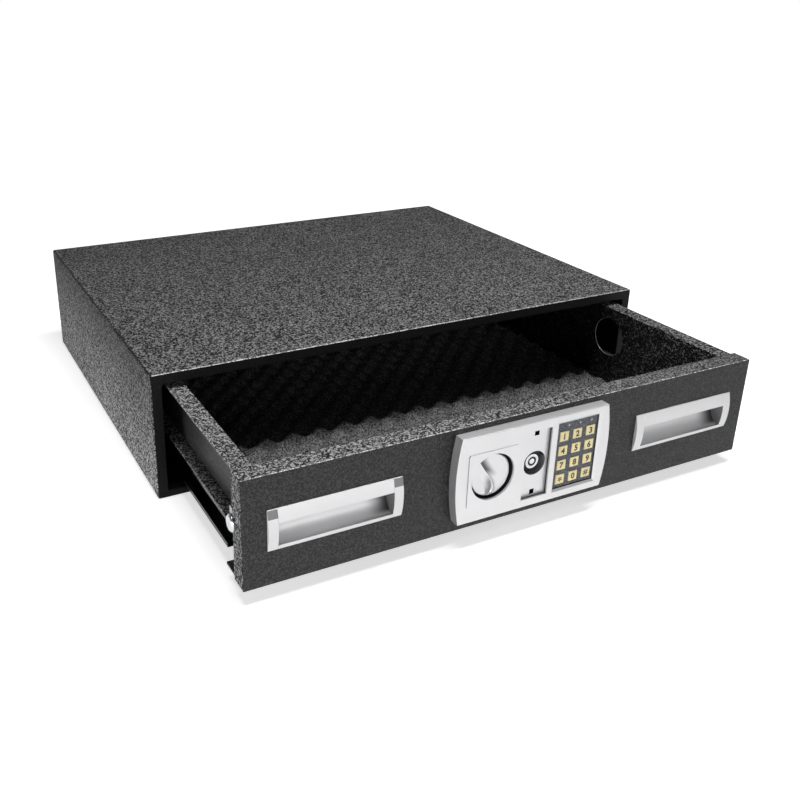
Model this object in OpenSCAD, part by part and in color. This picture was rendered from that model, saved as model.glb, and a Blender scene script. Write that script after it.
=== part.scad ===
// Under-bed safe: a shallow steel case with one lockable drawer on ball-bearing slides.
// Millimetres. X to the right, Y to the back, Z up. The origin is the centre of the
// case's underside. At rest the drawer is drawn part of the way out of the case.

/* [Case] */
// Outside width of the case
case_w = 650; // [600:10:700]
// Outside depth of the case, front to back
case_d = 500; // [480:10:560]
// Outside height of the case
case_h = 147; // [145:1:156]
// Thickness of the case's steel
case_sheet = 2; // [1.5:0.25:2.5]
// Radius of the anchor holes in the case's floor
anchor_r = 5; // [4:0.5:6]
// Spacing of the anchor holes from left to right
anchor_x = 450; // [400:10:500]
// Spacing of the anchor holes from front to back
anchor_y = 300; // [260:10:340]

/* [Front opening] */
// Width of the case's front beside the opening
frame_side = 12; // [10:0.5:13]
// Height of the case's front above the opening
frame_top = 12; // [10:0.5:13]
// Height of the case's front below the opening
frame_bottom = 8; // [7:0.5:9]
// Inside corner radius of the opening
opening_r = 3; // [2:0.5:5]

/* [Drawer] */
// How far the drawer is drawn out at rest
drawer_open = 210; // [100:10:300]
// Thickness of the drawer tray's steel
tray_sheet = 1.2; // [1:0.1:1.4]
// Width of the tray's outward rim
rim_w = 19; // [17:0.5:20]
// Height of the cable hole's centre above the tray's floor
cable_z = 71.1; // [60:1:75]
// Radius of the cable hole in the right side
cable_r = 25; // [18:1:28]
// Thickness of the foam liner
foam_h = 12; // [8:1:15]

/* [Front panel] */
// Thickness of the front panel's steel
panel_sheet = 2.5; // [2:0.25:3]
// Depth of the panel's turned edges
panel_depth = 21; // [19:0.5:21]
// Outside corner radius of the panel
panel_r = 1.5; // [1:0.5:4]
// Gap between the panel and the opening at each side
gap_side = 4; // [2:0.5:5]
// Gap above the panel
gap_top = 4; // [3:0.5:6]
// Gap below the panel
gap_bottom = 7; // [6:0.5:8]

/* [Slides] */
// Height of a ball-bearing slide
slide_h = 35; // [34:1:38]
// Distance from the case's front to the slides
slide_setback = 60; // [56:2:70]
// Thickness of the slides' outer and case members
member_sheet = 1.2; // [1:0.1:1.3]
// Radius of the slides' balls
ball_r = 1.75; // [1.5:0.05:1.8]
// Balls in each row of a cage
balls = 8; // [4:1:9]

/* [Bolts] */
// Radius of the locking bolts
bolt_r = 8.75; // [8:0.25:8.75]
// Travel of the locking bolts
bolt_throw = 9; // [6:1:9]
// Turn of the knob that throws the bolts, in degrees
knob_turn = 70; // [60:5:80]
// Thickness of the bolt bars
bar_t = 3; // [2:0.25:3]

/* [Lock plate] */
// Width of the lock plate at half height
plate_w = 190; // [186:1:196]
// Height of the lock plate
plate_h = 95.6; // [92:0.4:98]
// How far the lock plate stands out from the panel
plate_t = 12; // [11.5:0.25:14]
// Radius of the knob
knob_r = 23; // [21:0.5:24]
// Width of a key on the keypad
key_w = 11; // [10:0.25:11.5]
// Travel of a key
key_travel = 1; // [0.5:0.1:1]
// Radius of the key cylinder
cylinder_r = 8; // [7.5:0.25:9]

/* [Handles] */
// Width of a recessed handle with its end caps
handle_w = 139; // [125:1:145]
// Height of a recessed handle
handle_h = 43; // [42.6:0.1:45]
// Height of the finger opening
mouth_h = 24.5; // [20:0.5:26]

/* [Hidden] */
$fn = 48;

coat = [0.16, 0.16, 0.17];
zinc = [0.62, 0.63, 0.65];
steel = [0.75, 0.76, 0.78];
silver = [0.86, 0.86, 0.87];
slate = [0.16, 0.18, 0.22];
cream = [0.95, 0.86, 0.6];

cut = 1;
bend_r = case_sheet + 0.5;
front_y = -case_d / 2;
back_y = case_d / 2;
wall_in = case_w / 2 - case_sheet;
open_x = case_w / 2 - frame_side;
open_z1 = case_h - frame_top;
face_y = front_y - drawer_open;

// the panel and the tray behind it
panel_x = open_x - gap_side;
panel_z0 = frame_bottom + gap_bottom;
panel_z1 = open_z1 - gap_top;
panel_mid = (panel_z0 + panel_z1) / 2;
edge_x = panel_x - panel_sheet;
inside_r = 0.2;
tray_x = case_w / 2 - 38;
side_x = tray_x + tray_sheet;
rim_x = tray_x + rim_w;
hem_w = 4;
rim_drop = 2;
rim_z = panel_z1 - rim_drop;
floor_z0 = panel_z0 + panel_sheet;
floor_z = floor_z0 + tray_sheet;
rim_depth = 8;
tray_gap = 10;
rim_back = case_d - case_sheet - tray_gap;
tray_back = rim_back - rim_depth;
foot_depth = 48;
foot_x = edge_x + 0.1;
cable_y = 200;
soft_gap = 0.3;

// the cover over the lock works behind the panel
cover_x = tray_x - 0.2;
cover_drop = 26;
cover_z = panel_z1 - cover_drop;
hem_h = 10;
hem_z0 = panel_z1 - panel_sheet - hem_h;
cover_z1 = panel_z1 - 4;
cover_screw_x = 0.7 * cover_x;
cover_screw_z = (hem_z0 + cover_z1) / 2;

// slides: u runs outward from the bracket to the case's rail, w up or down from the middle
slide_t = 12.7;
mid_sheet = 1;
ball_play = 0.1;
cage_sheet = 0.4;
cage_gap = 0.3;
cage_leg = 0.8;
slide_back = 40;
slide_len = case_d - slide_setback - slide_back;
slide_x = side_x + tray_sheet;
slide_z0 = 24;
slide_zc = slide_z0 + slide_h / 2;
slide_y0 = front_y + slide_setback;
lip_w = slide_h / 2 - member_sheet;
outer_ball_w = lip_w - ball_play - ball_r;
mid_w = outer_ball_w - ball_r - ball_play;
inner_ball_w = mid_w - mid_sheet - ball_play - ball_r;
inner_w = inner_ball_w - ball_r - ball_play;
outer_cage_u = member_sheet + cage_gap;
mid_u = outer_cage_u + cage_sheet + cage_gap;
inner_cage_u = mid_u + mid_sheet + cage_gap;
inner_u = inner_cage_u + cage_sheet + cage_gap;
web_u = slide_t - member_sheet;
mid_lip_u = web_u - 2.2;
outer_ball_u = 5.75;
inner_ball_u = 6.75;
cage_len = 180;
ball_pitch = 20;
rail_x = slide_x + slide_t;
rail_sheet = 1.5;
bracket_w = slide_t - 0.2;
bracket_y0 = 38;
bracket_z1 = slide_z0 + slide_h + 0.2 + tray_sheet;
screw_r = 2;
screw_hole_r = 2.1;
screw_head_r = 3.5;
screw_head_t = 2;
screw_y = [40, slide_len / 2, slide_len - 40];

// bolts and bars; depths are measured from the panel's front face
bolt_z = panel_mid + 3;
bolt_y = 23;
bolt_tip = open_x - 1;
tab_t = 3;
bolt_x0 = tray_x + tab_t;
bolt_fit = 0.05;
bolt_chamfer = 1.5;
lip_depth = bolt_y - bolt_r - 0.25;
guide_x0 = edge_x - 6.5;
guide_w = 11.5;
bar_y0 = bolt_y + 1;
bar_y1 = bar_y0 + bar_t;
bar_w = 8;
bar_fit = 0.15;
tab_y0 = bolt_y - 6;
tab_y1 = bolt_y + 7;
notch_w = 13;
notch_y = 36;
handle_inset = 72;
handle_x = tray_x - handle_inset;
bar_guide_x = handle_x - handle_w / 2 - 25.5;
bar_guide_t = 8;
bar_guide_wall = 3;

// the lock plate and what it carries
lock_x = 3.2;
lock_z = panel_mid + 2.8;
plate_z = lock_z + 1;
plate_arc_r = 231;
plate_wall = 2.5;
plate_skin = 2.5;
skin_y = -plate_t + plate_skin;
knob_x = lock_x - 52;
well_r = knob_r + 2.5;
well_depth = 8.8;
well_wall = 2;
knob_face = -plate_t + 3.5;
knob_back = -plate_t + 8.5;
vane_h = 2;
shaft_r = 4;
shaft_in = 2.8;
shaft_fit = 0.05;
bush_r = 6;
bush_flange_r = 9;
bush_end = 10;
cam_y0 = 19;
cam_y1 = 22;
cam_r = 13;
pin_r = 2;
pin_arm = bolt_throw / 2 / sin(knob_turn / 2);
pin_end = bar_y1 + 1;
slot_w = pin_r + 0.25;
bar_stop = 12;
arm_z0 = 1.5;
arm_z1 = 14;
arm_in = 10.5;
arm_out = 24;

seat_x = lock_x + 2;
seat_z = lock_z + 0.6;
seat_w = 32.5;
seat_h = 77.2;
seat_depth = 4;
catch_w = 5.6;
catch_z = 33.7;
catch_low = 4.8;
frame_w = 59;
frame_rise = 0.8;
frame_r = 2;
key_well_r = cylinder_r + 5.5;
plug_r = 5.2;
plug_fit = 0.1;
plug_head_r = 6;
plug_head_t = 1.5;
keyway_r = 4.6;
keyway_core_r = 3.1;
keyway_depth = 5;
nib_w = 1.2;
nib_h = 0.4;
cylinder_y0 = -plate_t + 7.8;
cylinder_y1 = 20;
shoulder_t = 2.5;
shoulder_r = cylinder_r + 3;
nut_r = cylinder_r + 3.5;
nut_t = 5;
tail_y0 = cylinder_y1 + 0.3;
tail_t = 2;
tail_w = 3;
tail_len = 18.7;

pad_x = lock_x + 53.5;
pad_z = lock_z + 1.2;
window_w = 50.8;
window_h = 74.8;
window_bevel = 2.8;
window_lip = 0.5;
pad_w = 53.6;
pad_h = 77.6;
pad_y0 = skin_y + window_lip;
pad_y1 = pad_y0 + 2;
pad_rim = 2.4;
key_z = lock_z - 1.9;
key_pitch_x = 17;
key_pitch_z = 16.6;
key_gap = 0.6;
key_skirt = 1.6;
key_rise = 0.8;
key_front = pad_y0 - key_rise;
key_skirt_y = pad_y1 + 0.1;
key_back = pad_y1 + 1;
led_r = 1.1;
led_hole_r = 1.25;
led_pitch = 14.6;
led_x = pad_x + 3;
led_z = lock_z + 34.4;
board_y0 = key_back + key_travel + 0.4;
board_t = 1.6;
dome_h = 0.35;
dome_r = 2.5;
wire_r = 4;
wire_z = lock_z + 22;
post_r = 2;
boss_r = 3.5;
boss_x = 84;
boss_z = 39;
boss_hole_r = 1.6;

// the latch under the right bolt bar
latch_x = seat_x;
latch_y = bar_y0 + bar_t / 2;
latch_r = 3;
latch_fit = 0.1;
latch_top = bolt_z - bar_w - 0.1;
latch_press = 3;
collar_r = 5.2;
collar_z1 = lock_z - tail_len + latch_press - 0.3;
collar_t = 1.5;
coil_w = 12;
coil_d = 11;
coil_floor = 4;
coil_z0 = floor_z + 6.3;
coil_z1 = collar_z1 - collar_t - latch_press - 2.5;
foot_z1 = coil_z1 - 8;
plunger_in = 12;
latch_notch_w = 3.4;
latch_notch_h = 5;

// the battery box inside the cover
battery_x = handle_x - 14;
battery_z = panel_mid - 12;
cell_r = 7.1;
cell_len = 50;
cell_pitch = 15;
cells = 4;
box_sheet = 1.2;
box_w = 59.6;
box_h = 51.6;
box_y0 = 31;
lid_t = 2;
lid_w = 68;
lid_h = 60;
lid_rise = 1.2;
lid_screw_rise = 2.7;
button_inset = 61;
button_x = battery_x - button_inset;
button_z = battery_z - 1;
button_r = 3.5;
button_flange_r = 4.5;
button_travel = 1.5;
cup_r = 6;
cup_depth = 7;

// handles: y is measured from the panel's face, negative in front of it
handle_z = panel_mid + 0.7;
cap_w = 10;
cap_lap = 3;
cap_fit = 0.2;
hole_margin = 0.9;
bow_r = 71.7;
bow_y = 67.2;
bowl_r = 21.2;
bowl_y = -7;
bowl_sheet = 1.5;
mouth_z0 = -17;

module box(x0, x1, y0, y1, z0, z1)
  translate([x0, y0, z0]) cube([x1 - x0, y1 - y0, z1 - z0]);

// a flat shape drawn in X and Z, given depth along Y
module along_y(y0, y1)
  translate([0, y1, 0]) rotate([90, 0, 0]) linear_extrude(y1 - y0) children();

// a flat shape drawn in Y and Z, given length along X
module along_x(x0, x1)
  translate([x0, 0, 0]) rotate([90, 0, 90]) linear_extrude(x1 - x0) children();

module rod_y(x, z, r, y0, y1)
  translate([x, y1, z]) rotate([90, 0, 0]) cylinder(r = r, h = y1 - y0);

module rod_x(y, z, r, x0, x1)
  translate([x0, y, z]) rotate([0, 90, 0]) cylinder(r = r, h = x1 - x0);

module rounded(x0, x1, z0, z1, r) {
  translate([x0 + r, z0]) square([x1 - x0 - 2 * r, z1 - z0]);
  translate([x0, z0 + r]) square([x1 - x0, z1 - z0 - 2 * r]);
  for (x = [x0 + r, x1 - r], z = [z0 + r, z1 - r]) translate([x, z]) circle(r);
}

module centred(x, z, w, h) translate([x - w / 2, z - h / 2]) square([w, h]);

module left() mirror([1, 0, 0]) children();

module both() {
  children();
  left() children();
}

// moves a piece drawn from the panel's front face to where the drawer stands
module on_drawer() translate([0, face_y, 0]) children();

module opening(grow) rounded(-open_x - grow, open_x + grow, frame_bottom - grow,
                             open_z1 + grow, opening_r + grow);

module case_outline(inset) rounded(-case_w / 2 + inset, case_w / 2 - inset, inset,
                                   case_h - inset, bend_r - inset);

module case_wrapper() color(coat) difference() {
  along_y(front_y + case_sheet, back_y - case_sheet) difference() {
    case_outline(0);
    case_outline(case_sheet);
  }
  for (x = [-anchor_x / 2, anchor_x / 2], y = [-anchor_y / 2, anchor_y / 2])
    translate([x, y, -cut]) cylinder(r = anchor_r, h = case_sheet + 2 * cut);
}

module case_back() color(coat) along_y(back_y - case_sheet, back_y) case_outline(0);

module front_frame() color(coat) {
  along_y(front_y, front_y + case_sheet) difference() {
    case_outline(0);
    opening(0);
  }
  along_y(front_y + case_sheet / 2, front_y + lip_depth) difference() {
    opening(case_sheet);
    opening(0);
  }
}

module case_rail() color(zinc) difference() {
  union() {
    box(rail_x, rail_x + rail_sheet, slide_y0, slide_y0 + slide_len,
        slide_z0, slide_z0 + slide_h);
    for (z = [slide_z0, slide_z0 + slide_h - rail_sheet])
      box(rail_x, wall_in, slide_y0, slide_y0 + slide_len, z, z + rail_sheet);
  }
  slide_holes(rail_x - cut, rail_x + rail_sheet + cut);
}

module slide_holes(x0, x1)
  for (y = screw_y) rod_x(slide_y0 + y, slide_zc, screw_hole_r, x0, x1);

// one sheet strip of a slide and its mirror image below the middle
module strip(u0, u1, w0, w1, y0, y1) for (s = [-1, 1])
  box(slide_x + u0, slide_x + u1, y0, y1,
      slide_zc + (s > 0 ? w0 : -w1), slide_zc + (s > 0 ? w1 : -w0));

module slide_web(u0, u1, w, y0, y1)
  box(slide_x + u0, slide_x + u1, y0, y1, slide_zc - w, slide_zc + w);

module slide_case() color(steel) difference() {
  union() {
    slide_web(web_u, slide_t, inner_w, slide_y0, slide_y0 + slide_len);
    strip(inner_u, slide_t, inner_w - mid_sheet, inner_w, slide_y0, slide_y0 + slide_len);
  }
  slide_holes(slide_x + web_u - cut, rail_x + cut);
}

module slide_middle() color(steel) translate([0, -drawer_open / 2, 0]) {
  slide_web(mid_u, mid_u + mid_sheet, mid_w, slide_y0, slide_y0 + slide_len);
  strip(mid_u, mid_lip_u, mid_w - mid_sheet, mid_w, slide_y0, slide_y0 + slide_len);
}

module slide_drawer() color(steel) translate([0, -drawer_open, 0]) difference() {
  union() {
    slide_web(0, member_sheet, slide_h / 2, slide_y0, slide_y0 + slide_len);
    strip(0, web_u, lip_w, slide_h / 2, slide_y0, slide_y0 + slide_len);
    strip(web_u - member_sheet, web_u, mid_w - 0.1, slide_h / 2,
          slide_y0, slide_y0 + slide_len);
  }
  for (y = screw_y) translate([slide_x, slide_y0 + y, slide_zc]) rotate([0, 90, 0])
    cylinder(r1 = screw_hole_r, r2 = screw_head_r + 0.1, h = member_sheet);
}

// a bent strip that keeps two rows of balls apart, half way up each leg
module cage(u, leg_u, w, ball_u, ratio) translate([0, -drawer_open * ratio, 0]) {
  y0 = slide_y0 + slide_len / 2 - cage_len / 2;
  first = y0 + cage_len / 2 - (balls - 1) * ball_pitch / 2;
  difference() {
    union() {
      slide_web(u, u + cage_sheet, w + cage_leg / 2, y0, y0 + cage_len);
      strip(u, leg_u, w - cage_leg / 2, w + cage_leg / 2, y0, y0 + cage_len);
    }
    for (i = [0 : balls - 1])
      translate([slide_x + ball_u, first + i * ball_pitch, slide_zc - w - cut])
        cylinder(r = ball_r + 0.1, h = 2 * (w + cut));
  }
  for (i = [0 : balls - 1], s = [-1, 1])
    translate([slide_x + ball_u, first + i * ball_pitch, slide_zc + s * w]) sphere(ball_r);
}

module cage_outer() color(steel)
  cage(outer_cage_u, mid_lip_u - 1, outer_ball_w, outer_ball_u, 0.75);

module cage_inner() color(steel)
  cage(inner_cage_u, mid_lip_u - 0.3, inner_ball_w, inner_ball_u, 0.25);

module case_screws() color(zinc) both() for (y = screw_y) {
  rod_x(slide_y0 + y, slide_zc, screw_head_r, slide_x + web_u - screw_head_t,
        slide_x + web_u);
  rod_x(slide_y0 + y, slide_zc, screw_r, slide_x + web_u - screw_head_t / 2,
        rail_x + rail_sheet + cut);
}

module slide_bracket() color(coat) on_drawer() difference() {
  y1 = slide_setback + slide_len;
  union() {
    box(side_x, slide_x, bracket_y0, y1, slide_z0, bracket_z1);
    box(side_x, side_x + bracket_w + tray_sheet, bracket_y0, y1,
        bracket_z1 - tray_sheet, bracket_z1);
  }
  drawer_screw_holes(side_x - cut, slide_x + cut);
}

module drawer_screw_holes(x0, x1)
  for (y = screw_y) rod_x(slide_setback + y, slide_zc, screw_hole_r, x0, x1);

module drawer_screws() color(zinc) on_drawer() {
  both() for (y = screw_y) {
    translate([slide_x, slide_setback + y, slide_zc]) rotate([0, 90, 0])
      cylinder(r1 = screw_r, r2 = screw_head_r, h = member_sheet);
    rod_x(slide_setback + y, slide_zc, screw_r, tray_x, slide_x + member_sheet / 2);
  }
  for (x = [-cover_screw_x, 0, cover_screw_x]) {
    y = panel_depth + tray_sheet;
    rod_y(x, cover_screw_z, screw_head_r, y, y + screw_head_t);
    rod_y(x, cover_screw_z, screw_r, panel_depth - panel_sheet, y + screw_head_t / 2);
  }
  for (x = [-boss_x, boss_x], z = [-boss_z, boss_z]) {
    y = panel_sheet + screw_head_t;
    rod_y(lock_x + x, plate_z + z, screw_head_r, panel_sheet, y);
    rod_y(lock_x + x, plate_z + z, boss_hole_r, skin_y + 1, y - screw_head_t / 2);
  }
}

module drawer_floor() color(coat) on_drawer()
  box(-tray_x, tray_x, panel_sheet, tray_back, floor_z0, floor_z);

module drawer_side() color(coat) on_drawer() {
  difference() {
    box(tray_x, side_x, panel_sheet, tray_back, floor_z0, rim_z);
    box(tray_x - cut, side_x + cut, panel_sheet - cut, panel_depth, rim_z - tray_sheet,
        rim_z + cut);
    box(tray_x - cut, side_x + cut, panel_sheet - cut, notch_y, bolt_z - notch_w,
        bolt_z + notch_w);
    drawer_screw_holes(tray_x - cut, side_x + cut);
  }
  box(tray_x, rim_x, panel_depth, rim_back, rim_z - tray_sheet, rim_z);
  box(rim_x - hem_w, rim_x, panel_depth, rim_back, rim_z - 2 * tray_sheet, rim_z);
}

module drawer_side_right() difference() {
  drawer_side();
  on_drawer() rod_x(cable_y, floor_z + cable_z, cable_r, tray_x - cut, side_x + cut);
}

module drawer_back() color(coat) on_drawer() {
  box(-tray_x, tray_x, tray_back - tray_sheet, tray_back, floor_z, rim_z);
  box(-tray_x, tray_x, tray_back - tray_sheet, rim_back, rim_z - tray_sheet, rim_z);
  box(-tray_x, tray_x, rim_back - hem_w, rim_back, rim_z - 2 * tray_sheet, rim_z);
}

module front_panel() color(coat) on_drawer() difference() {
  union() {
    along_y(0, panel_sheet) panel_outline(0);
    along_y(panel_sheet / 2, panel_depth) difference() {
      panel_outline(0);
      panel_outline(panel_sheet);
    }
    box(-foot_x, foot_x, panel_depth - panel_sheet, foot_depth, panel_z0, floor_z0);
    box(-cover_x, cover_x, panel_depth - panel_sheet, panel_depth, hem_z0,
        panel_z1 - panel_sheet / 2);
  }
  both() {
    box(handle_x - handle_w / 2 + cap_lap, handle_x + handle_w / 2 - cap_lap,
        -cut, panel_sheet + cut, handle_z - handle_h / 2 + hole_margin,
        handle_z + handle_h / 2 - hole_margin);
    rod_x(bolt_y, bolt_z, bolt_r + 0.35, edge_x - cut, panel_x + cut);
  }
  rod_y(knob_x, lock_z, bush_r + 0.1, -cut, panel_sheet + cut);
  rod_y(seat_x, lock_z, cylinder_r + 0.1, -cut, panel_sheet + cut);
  rod_y(pad_x, wire_z, wire_r, -cut, panel_sheet + cut);
  for (x = [-boss_x, boss_x], z = [-boss_z, boss_z])
    rod_y(lock_x + x, plate_z + z, screw_hole_r, -cut, panel_sheet + cut);
  for (x = [-cover_screw_x, 0, cover_screw_x])
    rod_y(x, cover_screw_z, screw_hole_r, panel_depth - panel_sheet - cut,
          panel_depth + cut);
}

module panel_outline(inset) rounded(-panel_x + inset, panel_x - inset, panel_z0 + inset,
                                    panel_z1 - inset, max(panel_r - inset, inside_r));

module mechanism_cover() color(coat) on_drawer() difference() {
  y0 = panel_depth;
  y1 = foot_depth;
  union() {
    along_x(-cover_x, cover_x) polygon([
      [y0 + tray_sheet, cover_z1], [y0 + tray_sheet, cover_z], [y1, cover_z],
      [y1, floor_z], [y1 - tray_sheet, floor_z], [y1 - tray_sheet, cover_z - tray_sheet],
      [y0, cover_z - tray_sheet], [y0, cover_z1]
    ]);
    rod_y(button_x, button_z, cup_r, y1 - tray_sheet - cup_depth, y1 - tray_sheet / 2);
  }
  rod_y(button_x, button_z, button_flange_r + 0.1, y1 - tray_sheet - cup_depth + 1,
        y1 - tray_sheet);
  rod_y(button_x, button_z, button_r + 0.1, y1 - 2 * tray_sheet, y1 + cut);
  along_y(y1 - 2 * tray_sheet, y1 + cut) centred(battery_x, battery_z, box_w, box_h);
  along_y(y1 - 2 * tray_sheet, y1 + cut) battery_screw_spot(screw_r + 0.1);
  for (x = [-cover_screw_x, 0, cover_screw_x])
    rod_y(x, cover_screw_z, screw_hole_r, y0 - cut, y0 + tray_sheet + cut);
}

module foam_liner() color([0.1, 0.1, 0.1]) on_drawer()
  box(-tray_x + soft_gap, tray_x - soft_gap, foot_depth + soft_gap,
      tray_back - tray_sheet - soft_gap, floor_z + soft_gap, floor_z + soft_gap + foam_h);

module handle_section(skin) intersection() {
  translate([bow_y, 0]) circle(bow_r - skin);
  union() {
    translate([bowl_y, 0]) circle(bowl_r - (skin > 0 ? bowl_sheet : 0));
    if (skin == 0) translate([bowl_y, -handle_h / 2]) square([-bowl_y, handle_h]);
  }
}

module handle() color(silver) on_drawer() translate([handle_x, 0, handle_z]) {
  half = handle_w / 2 - cap_w;
  difference() {
    along_x(-half, half) handle_section(0);
    along_x(-half - cut, half + cut) handle_section(1.8);
    box(-half - cut, half + cut, bowl_y - cut, 0, mouth_z0, mouth_z0 + mouth_h);
  }
}

module handle_cap() {
  half = handle_w / 2;
  along_x(half - cap_w, half - cap_lap - cap_fit) handle_section(0);
  along_x(half - cap_w, half) intersection() {
    handle_section(0);
    translate([bowl_y, -handle_h]) square([-bowl_y, 2 * handle_h]);
  }
}

module handle_caps() color(silver) on_drawer() both()
  translate([handle_x, 0, handle_z]) both() handle_cap();

module plate_outline(inset) intersection() {
  centred(0, 0, plate_w, plate_h - 2 * inset);
  translate([plate_w / 2 - plate_arc_r, 0]) circle(plate_arc_r - inset);
  translate([plate_arc_r - plate_w / 2, 0]) circle(plate_arc_r - inset);
}

// an opening that widens toward the front, cut as two crossed wedges
module window_cut(w, h, bevel) translate([pad_x, 0, pad_z]) intersection() {
  translate([0, 0, -h]) linear_extrude(2 * h) polygon([
    [-w / 2, skin_y + cut], [-w / 2, skin_y], [-w / 2 - bevel, -plate_t],
    [-w / 2 - bevel, -plate_t - cut], [w / 2 + bevel, -plate_t - cut],
    [w / 2 + bevel, -plate_t], [w / 2, skin_y], [w / 2, skin_y + cut]
  ]);
  along_x(-w, w) polygon([
    [skin_y + cut, -h / 2], [skin_y, -h / 2], [-plate_t, -h / 2 - bevel],
    [-plate_t - cut, -h / 2 - bevel], [-plate_t - cut, h / 2 + bevel],
    [-plate_t, h / 2 + bevel], [skin_y, h / 2], [skin_y + cut, h / 2]
  ]);
}

module lock_bezel() color(silver) on_drawer() difference() {
  seat_y = -plate_t + seat_depth;
  well_y = -plate_t + well_depth;
  inner_y = skin_y - plate_skin / 2;
  union() {
    translate([lock_x, 0, plate_z]) {
      along_y(-plate_t, skin_y) plate_outline(0);
      along_y(inner_y, 0) difference() {
        plate_outline(0);
        plate_outline(plate_wall);
      }
      for (x = [-boss_x, boss_x], z = [-boss_z, boss_z])
        rod_y(x, z, boss_r, inner_y, 0);
    }
    translate([knob_x, 0, lock_z]) {
      along_y(-plate_t - frame_rise, inner_y)
        rounded(-frame_w / 2, frame_w / 2, -frame_w / 2, frame_w / 2, frame_r);
      rod_y(0, 0, well_r + well_wall, inner_y, well_y + well_wall);
    }
    along_y(inner_y, seat_y + plate_wall / 2)
      centred(seat_x, seat_z, seat_w + plate_wall, seat_h + plate_wall);
    rod_y(seat_x, lock_z, key_well_r + plate_wall / 2, inner_y, 0);
    along_y(inner_y, pad_y1)
      centred(pad_x, pad_z, pad_w + 2 * pad_rim, pad_h + 2 * pad_rim);
  }
  rod_y(knob_x, lock_z, well_r, -plate_t - cut, well_y);
  rod_y(knob_x, lock_z, shaft_r + 1, -plate_t, 0);
  along_y(-plate_t - cut, seat_y) centred(seat_x, seat_z, seat_w, seat_h);
  along_y(-plate_t, 0) {
    centred(seat_x, seat_z + catch_z, catch_w, catch_w);
    centred(seat_x, seat_z - seat_h / 2 + catch_low, catch_w, catch_w);
  }
  rod_y(seat_x, lock_z, key_well_r, -plate_t - cut, cut);
  window_cut(window_w, window_h, window_bevel);
  along_y(pad_y0, 0) centred(pad_x, pad_z, pad_w + 0.2, pad_h + 0.2);
  for (x = [-boss_x, boss_x], z = [-boss_z, boss_z])
    rod_y(lock_x + x, plate_z + z, boss_hole_r, skin_y + 1, cut);
}

// places a child at each key, by column and row
module at_key(i) translate([pad_x + (i % 3 - 1) * key_pitch_x, 0,
                            key_z + (1.5 - floor(i / 3)) * key_pitch_z]) children();

module keypad_plate() color(slate) on_drawer() {
  difference() {
    along_y(pad_y0, pad_y1) centred(pad_x, pad_z, pad_w, pad_h);
    for (i = [0 : 11]) at_key(i)
      along_y(pad_y0 - cut, pad_y1 + cut) centred(0, 0, key_w + key_gap, key_w + key_gap);
    for (k = [-1 : 1]) rod_y(led_x + k * led_pitch, led_z, led_hole_r, pad_y0 - cut,
                             pad_y1 + cut);
  }
  for (x = [-1, 1], z = [-1, 1])
    rod_y(pad_x + x * (pad_w / 2 - post_r), pad_z + z * (pad_h / 2 - post_r), post_r,
          pad_y0 + 1, board_y0);
}

module circuit_board() color([0.1, 0.3, 0.16]) on_drawer() {
  along_y(board_y0, board_y0 + board_t) centred(pad_x, pad_z, pad_w - 2, pad_h - 2);
  mid = board_y0 + board_t / 2;
  for (i = [0 : 11]) at_key(i) rod_y(0, 0, dome_r, board_y0 - dome_h, mid);
  for (k = [-1 : 1]) rod_y(led_x + k * led_pitch, led_z, led_r, pad_y0 + 0.1, mid);
  for (x = [-1, 1], z = [-1, 1])
    rod_y(pad_x + x * (pad_w / 2 - 2 * post_r), pad_z + z * (pad_h / 2 - 2 * post_r),
          post_r, mid, 0);
}

module key_piece(i) color(cream) on_drawer() at_key(i) {
  along_y(key_front, key_back) centred(0, 0, key_w, key_w);
  along_y(key_skirt_y, key_back) centred(0, 0, key_w + key_skirt, key_w + key_skirt);
}

module key_cylinder() color(steel) on_drawer() difference() {
  union() {
    rod_y(seat_x, lock_z, cylinder_r, cylinder_y0, cylinder_y1);
    rod_y(seat_x, lock_z, shoulder_r, -shoulder_t, 0);
    translate([seat_x, panel_sheet + nut_t, lock_z]) rotate([90, 0, 0])
      cylinder(r = nut_r, h = nut_t, $fn = 6);
  }
  rod_y(seat_x, lock_z, plug_r + plug_fit, cylinder_y0 - cut, cylinder_y1 + cut);
  rod_y(seat_x, lock_z, plug_head_r + plug_fit, cylinder_y0 - cut,
        cylinder_y0 + plug_head_t + plug_fit);
}

module key_plug() color(steel) on_drawer() translate([seat_x, 0, lock_z]) {
  difference() {
    union() {
      rod_y(0, 0, plug_r, cylinder_y0, tail_y0 + tail_t);
      rod_y(0, 0, plug_head_r, cylinder_y0, cylinder_y0 + plug_head_t);
    }
    difference() {
      rod_y(0, 0, keyway_r, cylinder_y0 - cut, cylinder_y0 + keyway_depth);
      rod_y(0, 0, keyway_core_r, cylinder_y0 - 2 * cut, cylinder_y0 + keyway_depth + cut);
    }
    box(-nib_w / 2, nib_w / 2, cylinder_y0 - cut, cylinder_y0 + keyway_depth,
        keyway_core_r + nib_h, keyway_r + nib_h);
  }
  along_y(tail_y0, tail_y0 + tail_t) {
    translate([0, -tail_w]) square([tail_len - tail_w, 2 * tail_w]);
    circle(plug_r);
    translate([tail_len - tail_w, 0]) circle(tail_w);
  }
}

module spindle_bush() color(steel) on_drawer() difference() {
  union() {
    rod_y(knob_x, lock_z, bush_r, 0, bush_end);
    rod_y(knob_x, lock_z, bush_flange_r, panel_sheet, 2 * panel_sheet);
  }
  rod_y(knob_x, lock_z, shaft_r + shaft_fit, -cut, bush_end + cut);
}

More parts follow.
